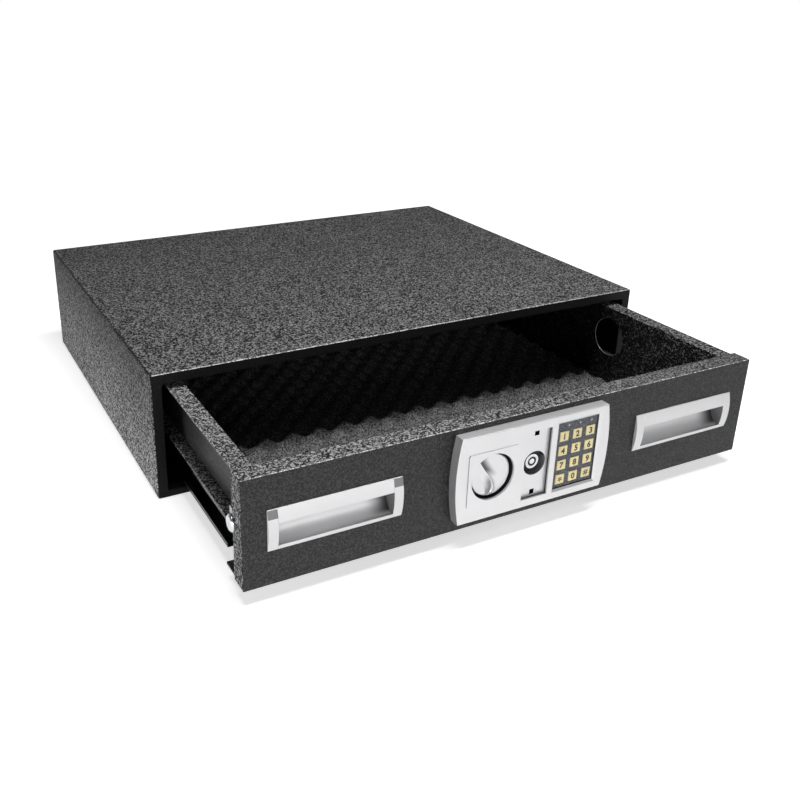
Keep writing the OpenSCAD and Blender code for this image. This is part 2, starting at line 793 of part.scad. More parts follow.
module knob() color(silver) on_drawer() translate([knob_x, 0, lock_z]) difference() {
  union() {
    rod_y(0, 0, knob_r, knob_face, knob_back);
    intersection() {
      rod_y(0, 0, knob_r - 0.2, knob_face - vane_h, knob_back);
      along_y(knob_face - vane_h, knob_face + 1) polygon([
        [-15, 18.5], [-8.1, 7.5], [-1.9, 0], [1.25, -10], [0.6, -18], [-3, -25],
        [-7, -25], [-8, -14], [-11, -4], [-16, 4], [-22, 10]
      ]);
    }
  }
  rod_y(0, 0, shaft_r, knob_face + shaft_in, knob_back + cut);
}

module cam_shaft() color(steel) on_drawer() translate([knob_x, 0, lock_z]) {
  rod_y(0, 0, shaft_r, knob_face + shaft_in, cam_y1);
  rod_y(0, 0, cam_r, cam_y0, cam_y1);
  for (s = [-1, 1])
    rod_y(s * pin_arm * sin(knob_turn / 2), s * pin_arm * cos(knob_turn / 2), pin_r,
          cam_y0, pin_end);
}

module bolt() color(steel) on_drawer() {
  rod_x(bolt_y, bolt_z, bolt_r, bolt_x0, bolt_tip - bolt_chamfer);
  rod_x(bolt_y, bolt_z, bolt_r - bolt_chamfer, bolt_x0, bolt_tip);
  translate([bolt_tip - bolt_chamfer, bolt_y, bolt_z]) rotate([0, 90, 0])
    cylinder(r1 = bolt_r, r2 = bolt_r - bolt_chamfer, h = bolt_chamfer);
}

// s is 1 for the right bar, which runs to the right from the cam's lower pin
module bolt_bar(s) color(zinc) on_drawer() difference() {
  pin_x = -s * bolt_throw / 2;
  slot_z0 = pin_arm * cos(knob_turn / 2) - slot_w;
  slot_z1 = pin_arm + slot_w;
  union() {
    span(bar_y0, bar_y1, knob_x + s * bar_stop, s * bolt_x0, bolt_z - bar_w,
         bolt_z + bar_w);
    span(tab_y0, tab_y1, s * tray_x, s * bolt_x0, bolt_z - bar_w, bolt_z + bar_w);
    span(bar_y0, bar_y1, knob_x - s * arm_in, knob_x + s * arm_out,
         lock_z - (s > 0 ? arm_z1 : -arm_z0), lock_z - (s > 0 ? arm_z0 : -arm_z1));
  }
  span(bar_y0 - cut, bar_y1 + cut, knob_x + pin_x - slot_w, knob_x + pin_x + slot_w,
       lock_z - (s > 0 ? slot_z1 : -slot_z0), lock_z - (s > 0 ? slot_z0 : -slot_z1));
  if (s > 0) box(latch_x - bolt_throw - latch_notch_w, latch_x - bolt_throw + latch_notch_w,
                 bar_y0 - cut, bar_y1 + cut, bolt_z - bar_w - cut,
                 bolt_z - bar_w + latch_notch_h);
}

module span(y0, y1, xa, xb, z0, z1)
  box(min(xa, xb), max(xa, xb), y0, y1, z0, z1);

module bolt_guides() color(zinc) on_drawer() both() {
  difference() {
    box(guide_x0, edge_x, panel_sheet, notch_y - 1.5, bolt_z - guide_w, bolt_z + guide_w);
    rod_x(bolt_y, bolt_z, bolt_r + bolt_fit, guide_x0 - cut, edge_x + cut);
  }
  difference() {
    box(bar_guide_x - bar_guide_t / 2, bar_guide_x + bar_guide_t / 2, panel_sheet,
        bar_y1 + bar_guide_wall, bolt_z - bar_w - bar_guide_wall,
        bolt_z + bar_w + bar_guide_wall);
    box(bar_guide_x - bar_guide_t, bar_guide_x + bar_guide_t, bar_y0 - bar_fit,
        bar_y1 + bar_fit, bolt_z - bar_w - bar_fit, bolt_z + bar_w + bar_fit);
  }
}

module solenoid() color([0.3, 0.3, 0.32]) on_drawer() difference() {
  union() {
    base_z = coil_z0 - panel_sheet;
    box(latch_x - coil_w, latch_x + coil_w, latch_y - coil_d, latch_y + coil_d,
        base_z, coil_z1);
    box(latch_x - coil_w, latch_x + coil_w, panel_sheet, latch_y + coil_d,
        base_z, coil_z0);
    box(latch_x - coil_w, latch_x + coil_w, panel_sheet, 2 * panel_sheet,
        base_z, foot_z1);
  }
  translate([latch_x, latch_y, coil_z0 + coil_floor])
    cylinder(r = latch_r + latch_fit, h = coil_z1 - coil_z0);
}

module plunger() color(steel) on_drawer() translate([latch_x, latch_y, 0]) {
  translate([0, 0, coil_z1 - plunger_in])
    cylinder(r = latch_r, h = latch_top - coil_z1 + plunger_in);
  translate([0, 0, collar_z1 - collar_t]) cylinder(r = collar_r, h = collar_t);
}

module battery_box() color(slate) on_drawer() difference() {
  y1 = foot_depth - tray_sheet;
  along_y(box_y0, y1)
    centred(battery_x, battery_z, box_w + 2 * box_sheet, box_h + 2 * box_sheet);
  along_y(box_y0 + box_sheet, y1 + cut) centred(battery_x, battery_z, box_w, box_h);
}

module batteries() color([0.2, 0.35, 0.25]) on_drawer() for (i = [0 : cells - 1])
  translate([battery_x + (i - (cells - 1) / 2) * cell_pitch,
             box_y0 + box_sheet + cell_r + 0.2, battery_z - cell_len / 2])
    cylinder(r = cell_r, h = cell_len);

module battery_screw_spot(r)
  translate([battery_x, battery_z + box_h / 2 + lid_screw_rise]) circle(r);

module battery_cover() color(coat) on_drawer() {
  along_y(foot_depth, foot_depth + lid_t)
    centred(battery_x, battery_z + lid_rise, lid_w, lid_h);
  along_y(foot_depth - tray_sheet, foot_depth + lid_t) battery_screw_spot(screw_r);
  along_y(foot_depth, foot_depth + lid_t + 1.2) battery_screw_spot(screw_head_r);
}

module reset_button() color([0.6, 0.1, 0.1]) on_drawer() {
  y1 = foot_depth - tray_sheet - 0.1;
  rod_y(button_x, button_z, button_flange_r, y1 - 1.4, y1);
  rod_y(button_x, button_z, button_r, y1 - 1, foot_depth + 2.5);
}

module case_rail_left() left() case_rail();
module case_rail_right() case_rail();
module slide_case_left() left() slide_case();
module slide_case_right() slide_case();
module slide_middle_left() left() slide_middle();
module slide_middle_right() slide_middle();
module slide_drawer_left() left() slide_drawer();
module slide_drawer_right() slide_drawer();
module slide_bracket_left() left() slide_bracket();
module slide_bracket_right() slide_bracket();
module cage_outer_left() left() cage_outer();
module cage_outer_right() cage_outer();
module cage_inner_left() left() cage_inner();
module cage_inner_right() cage_inner();
module drawer_side_left() left() drawer_side();
module handle_left() left() handle();
module handle_right() handle();
module bolt_left() left() bolt();
module bolt_right() bolt();
module bolt_bar_left() bolt_bar(-1);
module bolt_bar_right() bolt_bar(1);

case_wrapper();
case_back();
front_frame();
case_rail_left();
case_rail_right();
slide_case_left();
slide_case_right();
case_screws();
drawer_floor();
drawer_side_left();
drawer_side_right();
drawer_back();
front_panel();
mechanism_cover();
foam_liner();
slide_bracket_left();
slide_bracket_right();
slide_drawer_left();
slide_drawer_right();
drawer_screws();
handle_left();
handle_right();
handle_caps();
lock_bezel();
keypad_plate();
circuit_board();
key_cylinder();
spindle_bush();
bolt_guides();
solenoid();
battery_box();
batteries();
battery_cover();
knob();
cam_shaft();
bolt_left();
bolt_bar_left();
bolt_right();
bolt_bar_right();
plunger();
key_plug();
reset_button();
slide_middle_left();
slide_middle_right();
cage_outer_left();
cage_outer_right();
cage_inner_left();
cage_inner_right();
key_piece(0);  // key_1
key_piece(1);  // key_2
key_piece(2);  // key_3
key_piece(3);  // key_4
key_piece(4);  // key_5
key_piece(5);  // key_6
key_piece(6);  // key_7
key_piece(7);  // key_8
key_piece(8);  // key_9
key_piece(9);  // key_star
key_piece(10);  // key_0
key_piece(11);  // key_hash
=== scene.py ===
# Under-bed safe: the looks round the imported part.
# Metres. X to the right, Y to the back, Z up; the drawer stands drawn out at rest.
import math

import bmesh
import bpy
from mathutils import Euler, Matrix, Vector


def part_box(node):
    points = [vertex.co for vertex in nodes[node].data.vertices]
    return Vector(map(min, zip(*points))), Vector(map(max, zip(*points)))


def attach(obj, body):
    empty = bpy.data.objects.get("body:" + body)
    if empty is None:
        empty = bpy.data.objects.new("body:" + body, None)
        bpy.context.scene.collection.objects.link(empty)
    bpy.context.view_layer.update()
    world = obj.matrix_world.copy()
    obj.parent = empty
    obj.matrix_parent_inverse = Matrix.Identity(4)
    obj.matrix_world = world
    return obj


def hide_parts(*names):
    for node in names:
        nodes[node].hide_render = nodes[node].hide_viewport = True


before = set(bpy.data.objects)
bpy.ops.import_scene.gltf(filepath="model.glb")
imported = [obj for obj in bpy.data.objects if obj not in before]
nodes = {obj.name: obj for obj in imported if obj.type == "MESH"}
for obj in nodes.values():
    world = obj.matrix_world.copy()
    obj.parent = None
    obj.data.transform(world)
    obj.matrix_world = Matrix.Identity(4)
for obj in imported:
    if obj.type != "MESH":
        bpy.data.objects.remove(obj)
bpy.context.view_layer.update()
print("frame loaded:", len(nodes), "nodes")


def addObject(name, data):
    thing = bpy.data.objects.new(name, data)
    bpy.context.scene.collection.objects.link(thing)
    return thing


# the photo's camera
view = {
    "place": (-0.55135, -1.11542, 0.54425),
    "turn": (1.17986, -0.009212, -0.46471),
    "lens": 41.997,
    "shift": (0.082877, -0.068669),
}
camera = addObject("camera", bpy.data.cameras.new("camera"))
camera.location = view["place"]
camera.rotation_euler = Euler(view["turn"], "XYZ")
camera.data.lens = view["lens"]
camera.data.sensor_width = 36
camera.data.shift_x, camera.data.shift_y = view["shift"]
camera.data.clip_start = 0.02
bpy.context.scene.camera = camera


# small steps that every material is made of
def feed(node, name, value):
    # links a value to one of the node's inputs
    node.id_data.links.new(value, node.inputs[name])


def fill(node, values):
    # sets or links the first inputs
    for socket, value in zip(node.inputs, values):
        if isinstance(value, (int, float)):
            socket.default_value = value
        else:
            node.id_data.links.new(value, socket)
    return node.outputs[0]


def startMaterial(name):
    material = bpy.data.materials.new(name)
    material.use_nodes = True
    tree = material.node_tree
    tree.nodes.clear()
    out = tree.nodes.new("ShaderNodeOutputMaterial")
    shader = tree.nodes.new("ShaderNodeBsdfPrincipled")
    feed(out, 0, shader.outputs[0])
    place = tree.nodes.new("ShaderNodeTexCoord").outputs["Object"]
    return material, tree, shader, place


def noise(tree, place, size, detail=2.0, rough=0.5, stretch=None):
    # size is the width of one blotch in metres
    if stretch:
        mapping = tree.nodes.new("ShaderNodeMapping")
        mapping.inputs["Scale"].default_value = stretch
        feed(mapping, "Vector", place)
        place = mapping.outputs[0]
    node = tree.nodes.new("ShaderNodeTexNoise")
    node.inputs["Scale"].default_value = 1 / size
    node.inputs["Detail"].default_value = detail
    node.inputs["Roughness"].default_value = rough
    feed(node, "Vector", place)
    return node.outputs["Fac"]


def cells(tree, place, size, feature="F1"):
    node = tree.nodes.new("ShaderNodeTexVoronoi")
    node.feature = feature
    node.inputs["Scale"].default_value = 1 / size
    feed(node, "Vector", place)
    return node.outputs["Distance"]


def chips(tree, place, size):
    # one random grey for each cell
    node = tree.nodes.new("ShaderNodeTexVoronoi")
    node.inputs["Scale"].default_value = 1 / size
    feed(node, "Vector", place)
    split = tree.nodes.new("ShaderNodeSeparateColor")
    feed(split, 0, node.outputs["Color"])
    return split.outputs[0]


def spread(tree, value, low, high, start=0.0, end=1.0):
    node = tree.nodes.new("ShaderNodeMapRange")
    feed(node, "Value", value)
    node.inputs["From Min"].default_value = low
    node.inputs["From Max"].default_value = high
    node.inputs["To Min"].default_value = start
    node.inputs["To Max"].default_value = end
    return node.outputs["Result"]


def combine(tree, kind, a, b):
    node = tree.nodes.new("ShaderNodeMath")
    node.operation = kind
    return fill(node, (a, b))


def shade(tree, value, stops):
    # stops are (place from 0 to 1, grey or colour)
    node = tree.nodes.new("ShaderNodeValToRGB")
    ramp = node.color_ramp
    while len(ramp.elements) < len(stops):
        ramp.elements.new(0.5)
    for element, (at, tone) in zip(ramp.elements, stops):
        element.position = at
        element.color = (*tone, 1) if hasattr(tone, "__len__") else (tone, tone, tone, 1)
    feed(node, "Fac", value)
    return node.outputs["Color"]


def relief(tree, height, strength, depth):
    node = tree.nodes.new("ShaderNodeBump")
    node.inputs["Strength"].default_value = strength
    node.inputs["Distance"].default_value = depth
    feed(node, "Height", height)
    return node.outputs["Normal"]


# the width of one blotch of each pattern
patterns = {
    "drift": 0.11, "satinCloud": 0.03, "satinPeel": 0.004, "plateCloud": 0.012,
    "plateScratch": 0.0015, "plasticCloud": 0.015, "boardTrack": 0.004, "sleeveScuff": 0.002,
}
# most of a noise's values lie between these
mostNoise = (0.3, 0.7)
# the colour of painted shade
paintedShade = (0.02, 0.02, 0.021, 1)


def powderCoat(name, look):
    # hammered powder coat: domed lumps with a dark crease round each and pale flecks on some
    material, tree, shader, place = startMaterial(name)
    lumps = noise(tree, place, look["grain"], 2.0, 0.55)
    flecks = chips(tree, place, look["fleck"])
    domes = cells(tree, place, look["grain"] * 0.8)
    drift = noise(tree, place, patterns["drift"], 2.0)
    mixed = combine(tree, "ADD", combine(tree, "MULTIPLY", lumps, 1 - look["chip"]),
                    combine(tree, "MULTIPLY", flecks, look["chip"]))
    grain = spread(tree, mixed, 0.5 - look["contrast"], 0.5 + look["contrast"])
    tone = shade(tree, grain, [(0.0, look["dark"]), (look["knee"], look["mid"]),
                               (1.0, look["pale"])])
    # random wear, later multiplied by the ramp of painted light and shade
    wearAndPaintedLight = shade(tree, drift, [(0.3, 0.86), (0.7, 1.0)])
    if "paintedLight" in look:
        # painted light and shade: the coat's tone changes along one of the object's own axes
        axis, start, end, first, last = look["paintedLight"]
        split = tree.nodes.new("ShaderNodeSeparateXYZ")
        feed(split, 0, place)
        along = spread(tree, split.outputs[axis], start, end, first, last)
        wearAndPaintedLight = combine(tree, "MULTIPLY", wearAndPaintedLight, along)
    mix = tree.nodes.new("ShaderNodeMix")
    mix.data_type = "RGBA"
    mix.blend_type = "MULTIPLY"
    mix.inputs["Factor"].default_value = 1
    feed(mix, "A", tone)
    feed(mix, "B", wearAndPaintedLight)
    feed(shader, "Base Color", mix.outputs["Result"])
    feed(shader, "Roughness", spread(tree, lumps, *mostNoise, *look["gloss"]))
    height = combine(tree, "ADD", lumps, combine(tree, "MULTIPLY", domes, -0.5))
    feed(shader, "Normal", relief(tree, height, look["relief"], look["depth"]))
    shader.inputs["Specular IOR Level"].default_value = look["shine"]
    shader.inputs["IOR"].default_value = look.get("ior", 1.5)
    return material


def satinPaint(name, colour, rough, metallic, paintedShadeShare=False):
    # sprayed silver: an even tone with the faintest orange peel; painted shade can darken it
    # where a vertex attribute says
    material, tree, shader, place = startMaterial(name)
    cloud = noise(tree, place, patterns["satinCloud"], 3.0)
    peel = noise(tree, place, patterns["satinPeel"], 2.0)
    low = [c * 0.965 for c in colour]
    tone = shade(tree, cloud, [(0.3, low), (0.7, colour)])
    if paintedShadeShare:
        mark = tree.nodes.new("ShaderNodeAttribute")
        mark.attribute_name = "paintedShadeShare"
        mix = tree.nodes.new("ShaderNodeMix")
        mix.data_type = "RGBA"
        feed(mix, "Factor", mark.outputs["Fac"])
        feed(mix, "A", tone)
        mix.inputs["B"].default_value = paintedShade
        tone = mix.outputs["Result"]
    feed(shader, "Base Color", tone)
    feed(shader, "Roughness", spread(tree, peel, *mostNoise, *rough))
    feed(shader, "Normal", relief(tree, peel, 0.05, 0.00005))
    shader.inputs["Metallic"].default_value = metallic
    return material


def platedSteel(name, colour, rough, blotch):
    # zinc or chrome plate with faint blotches and hair scratches
    material, tree, shader, place = startMaterial(name)
    cloud = noise(tree, place, patterns["plateCloud"], 4.0)
    scratch = noise(tree, place, patterns["plateScratch"], 4.0, 0.7, (1, 0.15, 1))
    low = [c * blotch for c in colour]
    feed(shader, "Base Color", shade(tree, cloud, [(0.35, low), (0.65, colour)]))
    feed(shader, "Roughness", spread(tree, scratch, *mostNoise, *rough))
    feed(shader, "Normal", relief(tree, scratch, 0.06, 0.0001))
    shader.inputs["Metallic"].default_value = 1.0
    return material


def mouldedPlastic(name, colour, rough, grain=0.0007, depth=0.0001):
    material, tree, shader, place = startMaterial(name)
    cloud = noise(tree, place, patterns["plasticCloud"], 3.0)
    texture = noise(tree, place, grain, 2.0)
    low = [c * 0.86 for c in colour]
    feed(shader, "Base Color", shade(tree, cloud, [(0.3, low), (0.7, colour)]))
    feed(shader, "Roughness", spread(tree, texture, *mostNoise, *rough))
    feed(shader, "Normal", relief(tree, texture, 0.25, depth))
    return material


def openCellFoam(name, look):
    material, tree, shader, place = startMaterial(name)
    pores = cells(tree, place, look["pore"])
    fuzz = noise(tree, place, look["pore"] * 0.6, 3.0, 0.7)
    tone = combine(tree, "MULTIPLY", spread(tree, pores, 0.1, 0.75), fuzz)
    feed(shader, "Base Color", shade(tree, tone, [(0.08, look["dark"]), (0.5, look["pale"])]))
    feed(shader, "Normal", relief(tree, pores, 0.7, look["pore"] * 0.6))
    shader.inputs["Roughness"].default_value = 0.92
    shader.inputs["Specular IOR Level"].default_value = 0.25
    return material


def circuitBoard(name):
    # green mask with a faint grid of tracks
    material, tree, shader, place = startMaterial(name)
    tracks = cells(tree, place, patterns["boardTrack"], "DISTANCE_TO_EDGE")
    feed(shader, "Base Color",
         shade(tree, tracks, [(0.0, (0.02, 0.16, 0.07)), (0.08, (0.01, 0.09, 0.04))]))
    feed(shader, "Normal", relief(tree, tracks, 0.2, 0.0001))
    shader.inputs["Roughness"].default_value = 0.35
    return material


sleeveShape = {"bottom": 0.036, "top": 0.087, "gloss": (0.18, 0.34)}


def cellSleeve(name):
    # a dark sleeve with a copper-coloured end
    material, tree, shader, place = startMaterial(name)
    split = tree.nodes.new("ShaderNodeSeparateXYZ")
    feed(split, 0, place)
    height = spread(tree, split.outputs["Z"], sleeveShape["bottom"], sleeveShape["top"])
    scuff = noise(tree, place, patterns["sleeveScuff"], 3.0)
    feed(shader, "Base Color", shade(tree, height, [
        (0.0, 0.02), (0.68, 0.02), (0.7, (0.55, 0.3, 0.12)), (1.0, (0.6, 0.34, 0.14))]))
    feed(shader, "Roughness", spread(tree, scuff, *mostNoise, *sleeveShape["gloss"]))
    shader.inputs["Metallic"].default_value = 0.35
    return material


# grain and fleck are widths in metres, chip is the flecks' share, contrast is smaller for a
# harder grain, and the ramp of painted light and shade is (axis, from, to, first share, last
# share) along the object
coats = {
    # case: painted shade, the top darkens towards the back
    "case": {"grain": 0.003, "fleck": 0.0016, "chip": 0.45, "contrast": 0.13, "knee": 0.6,
             "ior": 1.25, "dark": 0.002, "mid": 0.026, "pale": 0.27, "gloss": (0.38, 0.52),
             "relief": 0.8, "depth": 0.0009, "shine": 0.12,
             "paintedLight": ("Y", -0.25, 0.25, 1.0, 0.62)},
    # side: a paler copy of the case's coat as painted light on the two sides, brighter towards
    # the bottom
    "side": {"grain": 0.003, "fleck": 0.0016, "chip": 0.45, "contrast": 0.13, "knee": 0.6,
             "ior": 1.2, "dark": 0.01, "mid": 0.07, "pale": 0.34, "gloss": (0.42, 0.55),
             "relief": 0.8, "depth": 0.0009, "shine": 0.12,
             "paintedLight": ("Z", 0.0, 0.147, 1.6, 0.35)},
    # tray: painted shade, the coat darkens towards the right
    "tray": {"grain": 0.0026, "fleck": 0.0014, "chip": 0.55, "contrast": 0.15, "knee": 0.5,
             "dark": 0.003, "mid": 0.045, "pale": 0.38, "gloss": (0.36, 0.5), "relief": 0.8,
             "depth": 0.0007, "shine": 0.25, "paintedLight": ("X", -0.15, 0.3, 1.0, 0.5)},
    # wall: painted shade, the coat darkens deeper inside the case
    "wall": {"grain": 0.003, "fleck": 0.0016, "chip": 0.6, "contrast": 0.26, "knee": 0.72,
             "dark": 0.004, "mid": 0.014, "pale": 0.3, "gloss": (0.42, 0.55), "relief": 0.5,
             "depth": 0.0005, "shine": 0.2, "paintedLight": ("Y", -0.37, -0.25, 1.0, 0.25)},
    "panel": {"grain": 0.0022, "fleck": 0.0013, "chip": 0.4, "contrast": 0.17, "knee": 0.5,
              "dark": 0.008, "mid": 0.02, "pale": 0.05, "gloss": (0.42, 0.56), "relief": 0.5,
              "depth": 0.0004, "shine": 0.3},
    # edge: a pale copy of the coat, as a painted highlight on rounded edges
    "edge": {"grain": 0.003, "fleck": 0.0014, "chip": 0.5, "contrast": 0.2, "knee": 0.4,
             "dark": 0.08, "mid": 0.3, "pale": 0.75, "gloss": (0.35, 0.5), "relief": 0.3,
             "depth": 0.0004, "shine": 0.3},
    # inner: a near-black copy of the coat, as painted shade
    "inner": {"grain": 0.003, "fleck": 0.002, "chip": 0.3, "contrast": 0.3, "knee": 0.5,
              "dark": 0.002, "mid": 0.004, "pale": 0.009, "gloss": (0.5, 0.65), "relief": 0.4,
              "depth": 0.0004, "shine": 0.15},
    "pad": {"grain": 0.0016, "fleck": 0.001, "chip": 0.45, "contrast": 0.22, "knee": 0.5,
            "dark": (0.022, 0.027, 0.037), "mid": (0.055, 0.063, 0.082),
            "pale": (0.15, 0.16, 0.18), "gloss": (0.3, 0.5), "relief": 0.3, "depth": 0.0002,
            "shine": 0.5},
}
caseCoat, paintedLightSideCoat, trayCoat, wallCoat, panelCoat, paintedShadeCoat, paintedHighlightCoat = (
    powderCoat(name + "Coat", coats[name])
    for name in ("case", "side", "tray", "wall", "panel", "inner", "edge"))
padSlate = powderCoat("padSlate", coats["pad"])
silver = (0.74, 0.74, 0.75)
lockSilver = satinPaint("lockSilver", silver, (0.28, 0.38), 0.6)
knobSilver = satinPaint("knobSilver", silver, (0.28, 0.36), 0.6, True)
# a duller silver: painted shade on the lock plate's seat walls, and the paler ring round the
# cable hole
paintedShadeAndHoleEdgeSilver = satinPaint("paintedShadeAndHoleEdgeSilver", (0.42, 0.42, 0.425), (0.34, 0.44), 0.5)
handleSilver = satinPaint("handleSilver", silver, (0.36, 0.44), 0.35, True)
boltChrome = platedSteel("boltChrome", (0.72, 0.73, 0.75), (0.05, 0.14), 0.9)
zincSteel = platedSteel("zincSteel", (0.42, 0.43, 0.45), (0.22, 0.42), 0.8)
slideSteel = platedSteel("slideSteel", (0.045, 0.046, 0.05), (0.14, 0.3), 0.7)
ballSteel = platedSteel("ballSteel", (0.66, 0.67, 0.69), (0.08, 0.2), 0.9)
keyCream = mouldedPlastic("keyCream", (0.98, 0.85, 0.46), (0.28, 0.42), 0.0006, 0.00008)
keyInk = mouldedPlastic("keyInk", (0.03, 0.026, 0.02), (0.4, 0.6))
lampLens = mouldedPlastic("lampLens", (0.62, 0.58, 0.46), (0.1, 0.2))
# black and grey for painted shade in wells, recesses and behind parts
paintedShadeBlack = mouldedPlastic("paintedShadeBlack", (0.006, 0.006, 0.007), (0.5, 0.65))
paintedShadeGrey = mouldedPlastic("paintedShadeGrey", (0.23, 0.23, 0.235), (0.4, 0.55))
# grey for a painted reflection on the left caps and painted shade on the caps' inner ends
paintedShadeAndReflectionGrey = satinPaint("paintedShadeAndReflectionGrey", (0.2, 0.2, 0.205), (0.3, 0.4), 0.3)
boxBlack = mouldedPlastic("boxBlack", (0.025, 0.027, 0.03), (0.35, 0.5))
buttonRed = mouldedPlastic("buttonRed", (0.45, 0.03, 0.03), (0.25, 0.4))
coilDark = mouldedPlastic("coilDark", (0.03, 0.03, 0.034), (0.35, 0.5), 0.0004, 0.0002)
boardGreen = circuitBoard("boardGreen")
cellWrap = cellSleeve("cellWrap")
foamBlack = openCellFoam("foamBlack", {"pore": 0.0022, "dark": 0.002, "pale": 0.17})
print("materials made")


# steps that the pieces are made of; points within weld become one, and places within close
# count as the same
weld = 1e-6
close = 1e-4


def cleanCopy(name):
    # a CAD node's mesh with its flat faces whole again
    bm = bmesh.new()
    bm.from_mesh(nodes[name].data)
    bmesh.ops.remove_doubles(bm, verts=bm.verts, dist=2 * weld)
    bmesh.ops.dissolve_limit(bm, angle_limit=math.radians(0.4), verts=bm.verts, edges=bm.edges)
    return bm


def sharpEdges(bm):
    limit = math.radians(32)
    return [e for e in bm.edges if len(e.link_faces) == 2 and e.calc_face_angle(0) > limit]


def roundOff(bm, edges, width, segments):
    bmesh.ops.bevel(bm, geom=edges, offset=width, offset_type="OFFSET", segments=segments,
                    profile=0.5, affect="EDGES", clamp_overlap=True)


def cutAcross(bm, place, normal):
    # new edges where a plane meets the faces, so that a tint can change there
    bmesh.ops.bisect_plane(bm, geom=bm.verts[:] + bm.edges[:] + bm.faces[:], dist=weld,
                           plane_co=place, plane_no=normal)


def toMesh(bm, name):
    mesh = bpy.data.meshes.new(name)
    bm.to_mesh(mesh)
    bm.free()
    return mesh


def addPiece(bm, name, body, materials, replaced=(), sharp=38.0):
    # turns a bmesh into a finished piece: sharp edges marked, flat faces kept flat
    mesh = toMesh(bm, name)
    piece = addObject(name, mesh)
    for material in materials if isinstance(materials, list) else [materials]:
        mesh.materials.append(material)
    mesh.polygons.foreach_set("use_smooth", [True] * len(mesh.polygons))
    mesh.set_sharp_from_angle(angle=math.radians(sharp))
    even = piece.modifiers.new("even", "WEIGHTED_NORMAL")
    even.keep_sharp = True
    settle(piece)
    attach(piece, body)
    if replaced:
        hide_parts(*replaced)
    return piece


def settle(piece):
    # keeps what the modifiers make as the piece's own mesh
    graph = bpy.context.evaluated_depsgraph_get()
    mesh = bpy.data.meshes.new_from_object(piece.evaluated_get(graph))
    piece.modifiers.clear()
    piece.data = mesh
    mesh.name = piece.name


def softened(node, body, material, width, segments, pick, choose=None):
    # a copy of a CAD node with its chosen sharp edges rounded
    bm = cleanCopy(node)
    roundOff(bm, [e for e in sharpEdges(bm) if pick(e)], width, segments)
    if choose:
        tint(bm, choose)
    addPiece(bm, node + "_piece", body, material, [node])


def tint(bm, choose):
    # gives each face the material that choose names for its middle and normal; what a part of
    # the normal is compared with is a cosine
    bm.normal_update()
    for face in bm.faces:
        face.material_index = choose(face.calc_center_median(), face.normal)


def ease(t):
    # 0 to 1 with a soft start and end
    t = min(max(t, 0.0), 1.0)
    return t * t * (3 - 2 * t)


def grow(value, start, over):
    return ease((value - start) / over)


def ring(x0, x1, z0, z1, radius, y, steps=6):
    # the points of an upright rectangle with round corners
    points = []
    for cx, cz, turn in ((x1 - radius, z1 - radius, 0), (x0 + radius, z1 - radius, 90),
                         (x0 + radius, z0 + radius, 180), (x1 - radius, z0 + radius, 270)):
        for i in range(steps + 1):
            a = math.radians(turn + 90 * i / steps)
            points.append(Vector((cx + radius * math.cos(a), y, cz + radius * math.sin(a))))
    return points


def skin(bm, rings, closed=False):
    # quads from each ring of points to the next
    loops = [[bm.verts.new(p) for p in points] for points in rings]
    pairs = list(zip(loops, loops[1:])) + ([(loops[-1], loops[0])] if closed else [])
    for a, b in pairs:
        for i in range(len(a)):
            j = (i + 1) % len(a)
            bm.faces.new((a[i], a[j], b[j], b[i]))
    return loops


def drill(piece, places, low, high, radius):
    # cuts an upright round hole at each x and y
    bm = bmesh.new()
    for x, y in places:
        bmesh.ops.create_cone(bm, cap_ends=True, segments=48, radius1=radius, radius2=radius,
                              depth=high - low,
                              matrix=Matrix.Translation((x, y, (low + high) / 2)))
    cutter = addObject("rods", toMesh(bm, "rods"))
    cut = piece.modifiers.new("holes", "BOOLEAN")
    cut.object = cutter
    cut.solver = "EXACT"
    settle(piece)
    bpy.data.objects.remove(cutter)


# the case: one folded shell with a welded back and a turned-in front
caseShape = {
    "halfWidth": 0.325, "height": 0.147, "front": -0.250, "back": 0.250,
    "sheet": 0.002, "bend": 0.0025, "leastBend": 0.0004, "edgeRound": 0.0013, "edgeSteps": 4,
    "openHalf": 0.313, "openLow": 0.008, "openHigh": 0.135, "openCorner": 0.003,
    "lipEnd": -0.236, "holeRadius": 0.005, "holeSpacing": (0.450, 0.300),
    "holeReach": (-0.004, 0.006), "insideFrom": 0.75,
}


def caseRing(inset, y):
    s = caseShape
    return ring(-s["halfWidth"] + inset, s["halfWidth"] - inset, inset, s["height"] - inset,
                max(s["bend"] - inset, s["leastBend"]), y)


def openRing(grow, y):
    s = caseShape
    return ring(-s["openHalf"] - grow, s["openHalf"] + grow, s["openLow"] - grow,
                s["openHigh"] + grow, s["openCorner"] + grow, y)


def caseSpot(middle, normal):
    # painted shade makes the front, the inside and the top's folds darker than the outside,
    # painted light gives the two sides a paler coat, and the front top edge has a painted
    # highlight
    s = caseShape
    wall = s["sheet"] * s["insideFrom"]
    inside = (abs(middle.x) < s["halfWidth"] - wall and wall < middle.z < s["height"] - wall
              and middle.y < s["back"] - wall)
    if inside or normal.y < -0.8:
        return 2
    if abs(normal.x) > 0.7:
        return 3
    if normal.z > 0.3 and (abs(normal.x) > 0.3 or normal.y > 0.3):
        return 2
    return int(normal.z > 0.3 and normal.y < -0.25 and middle.z > s["height"] - s["sheet"])


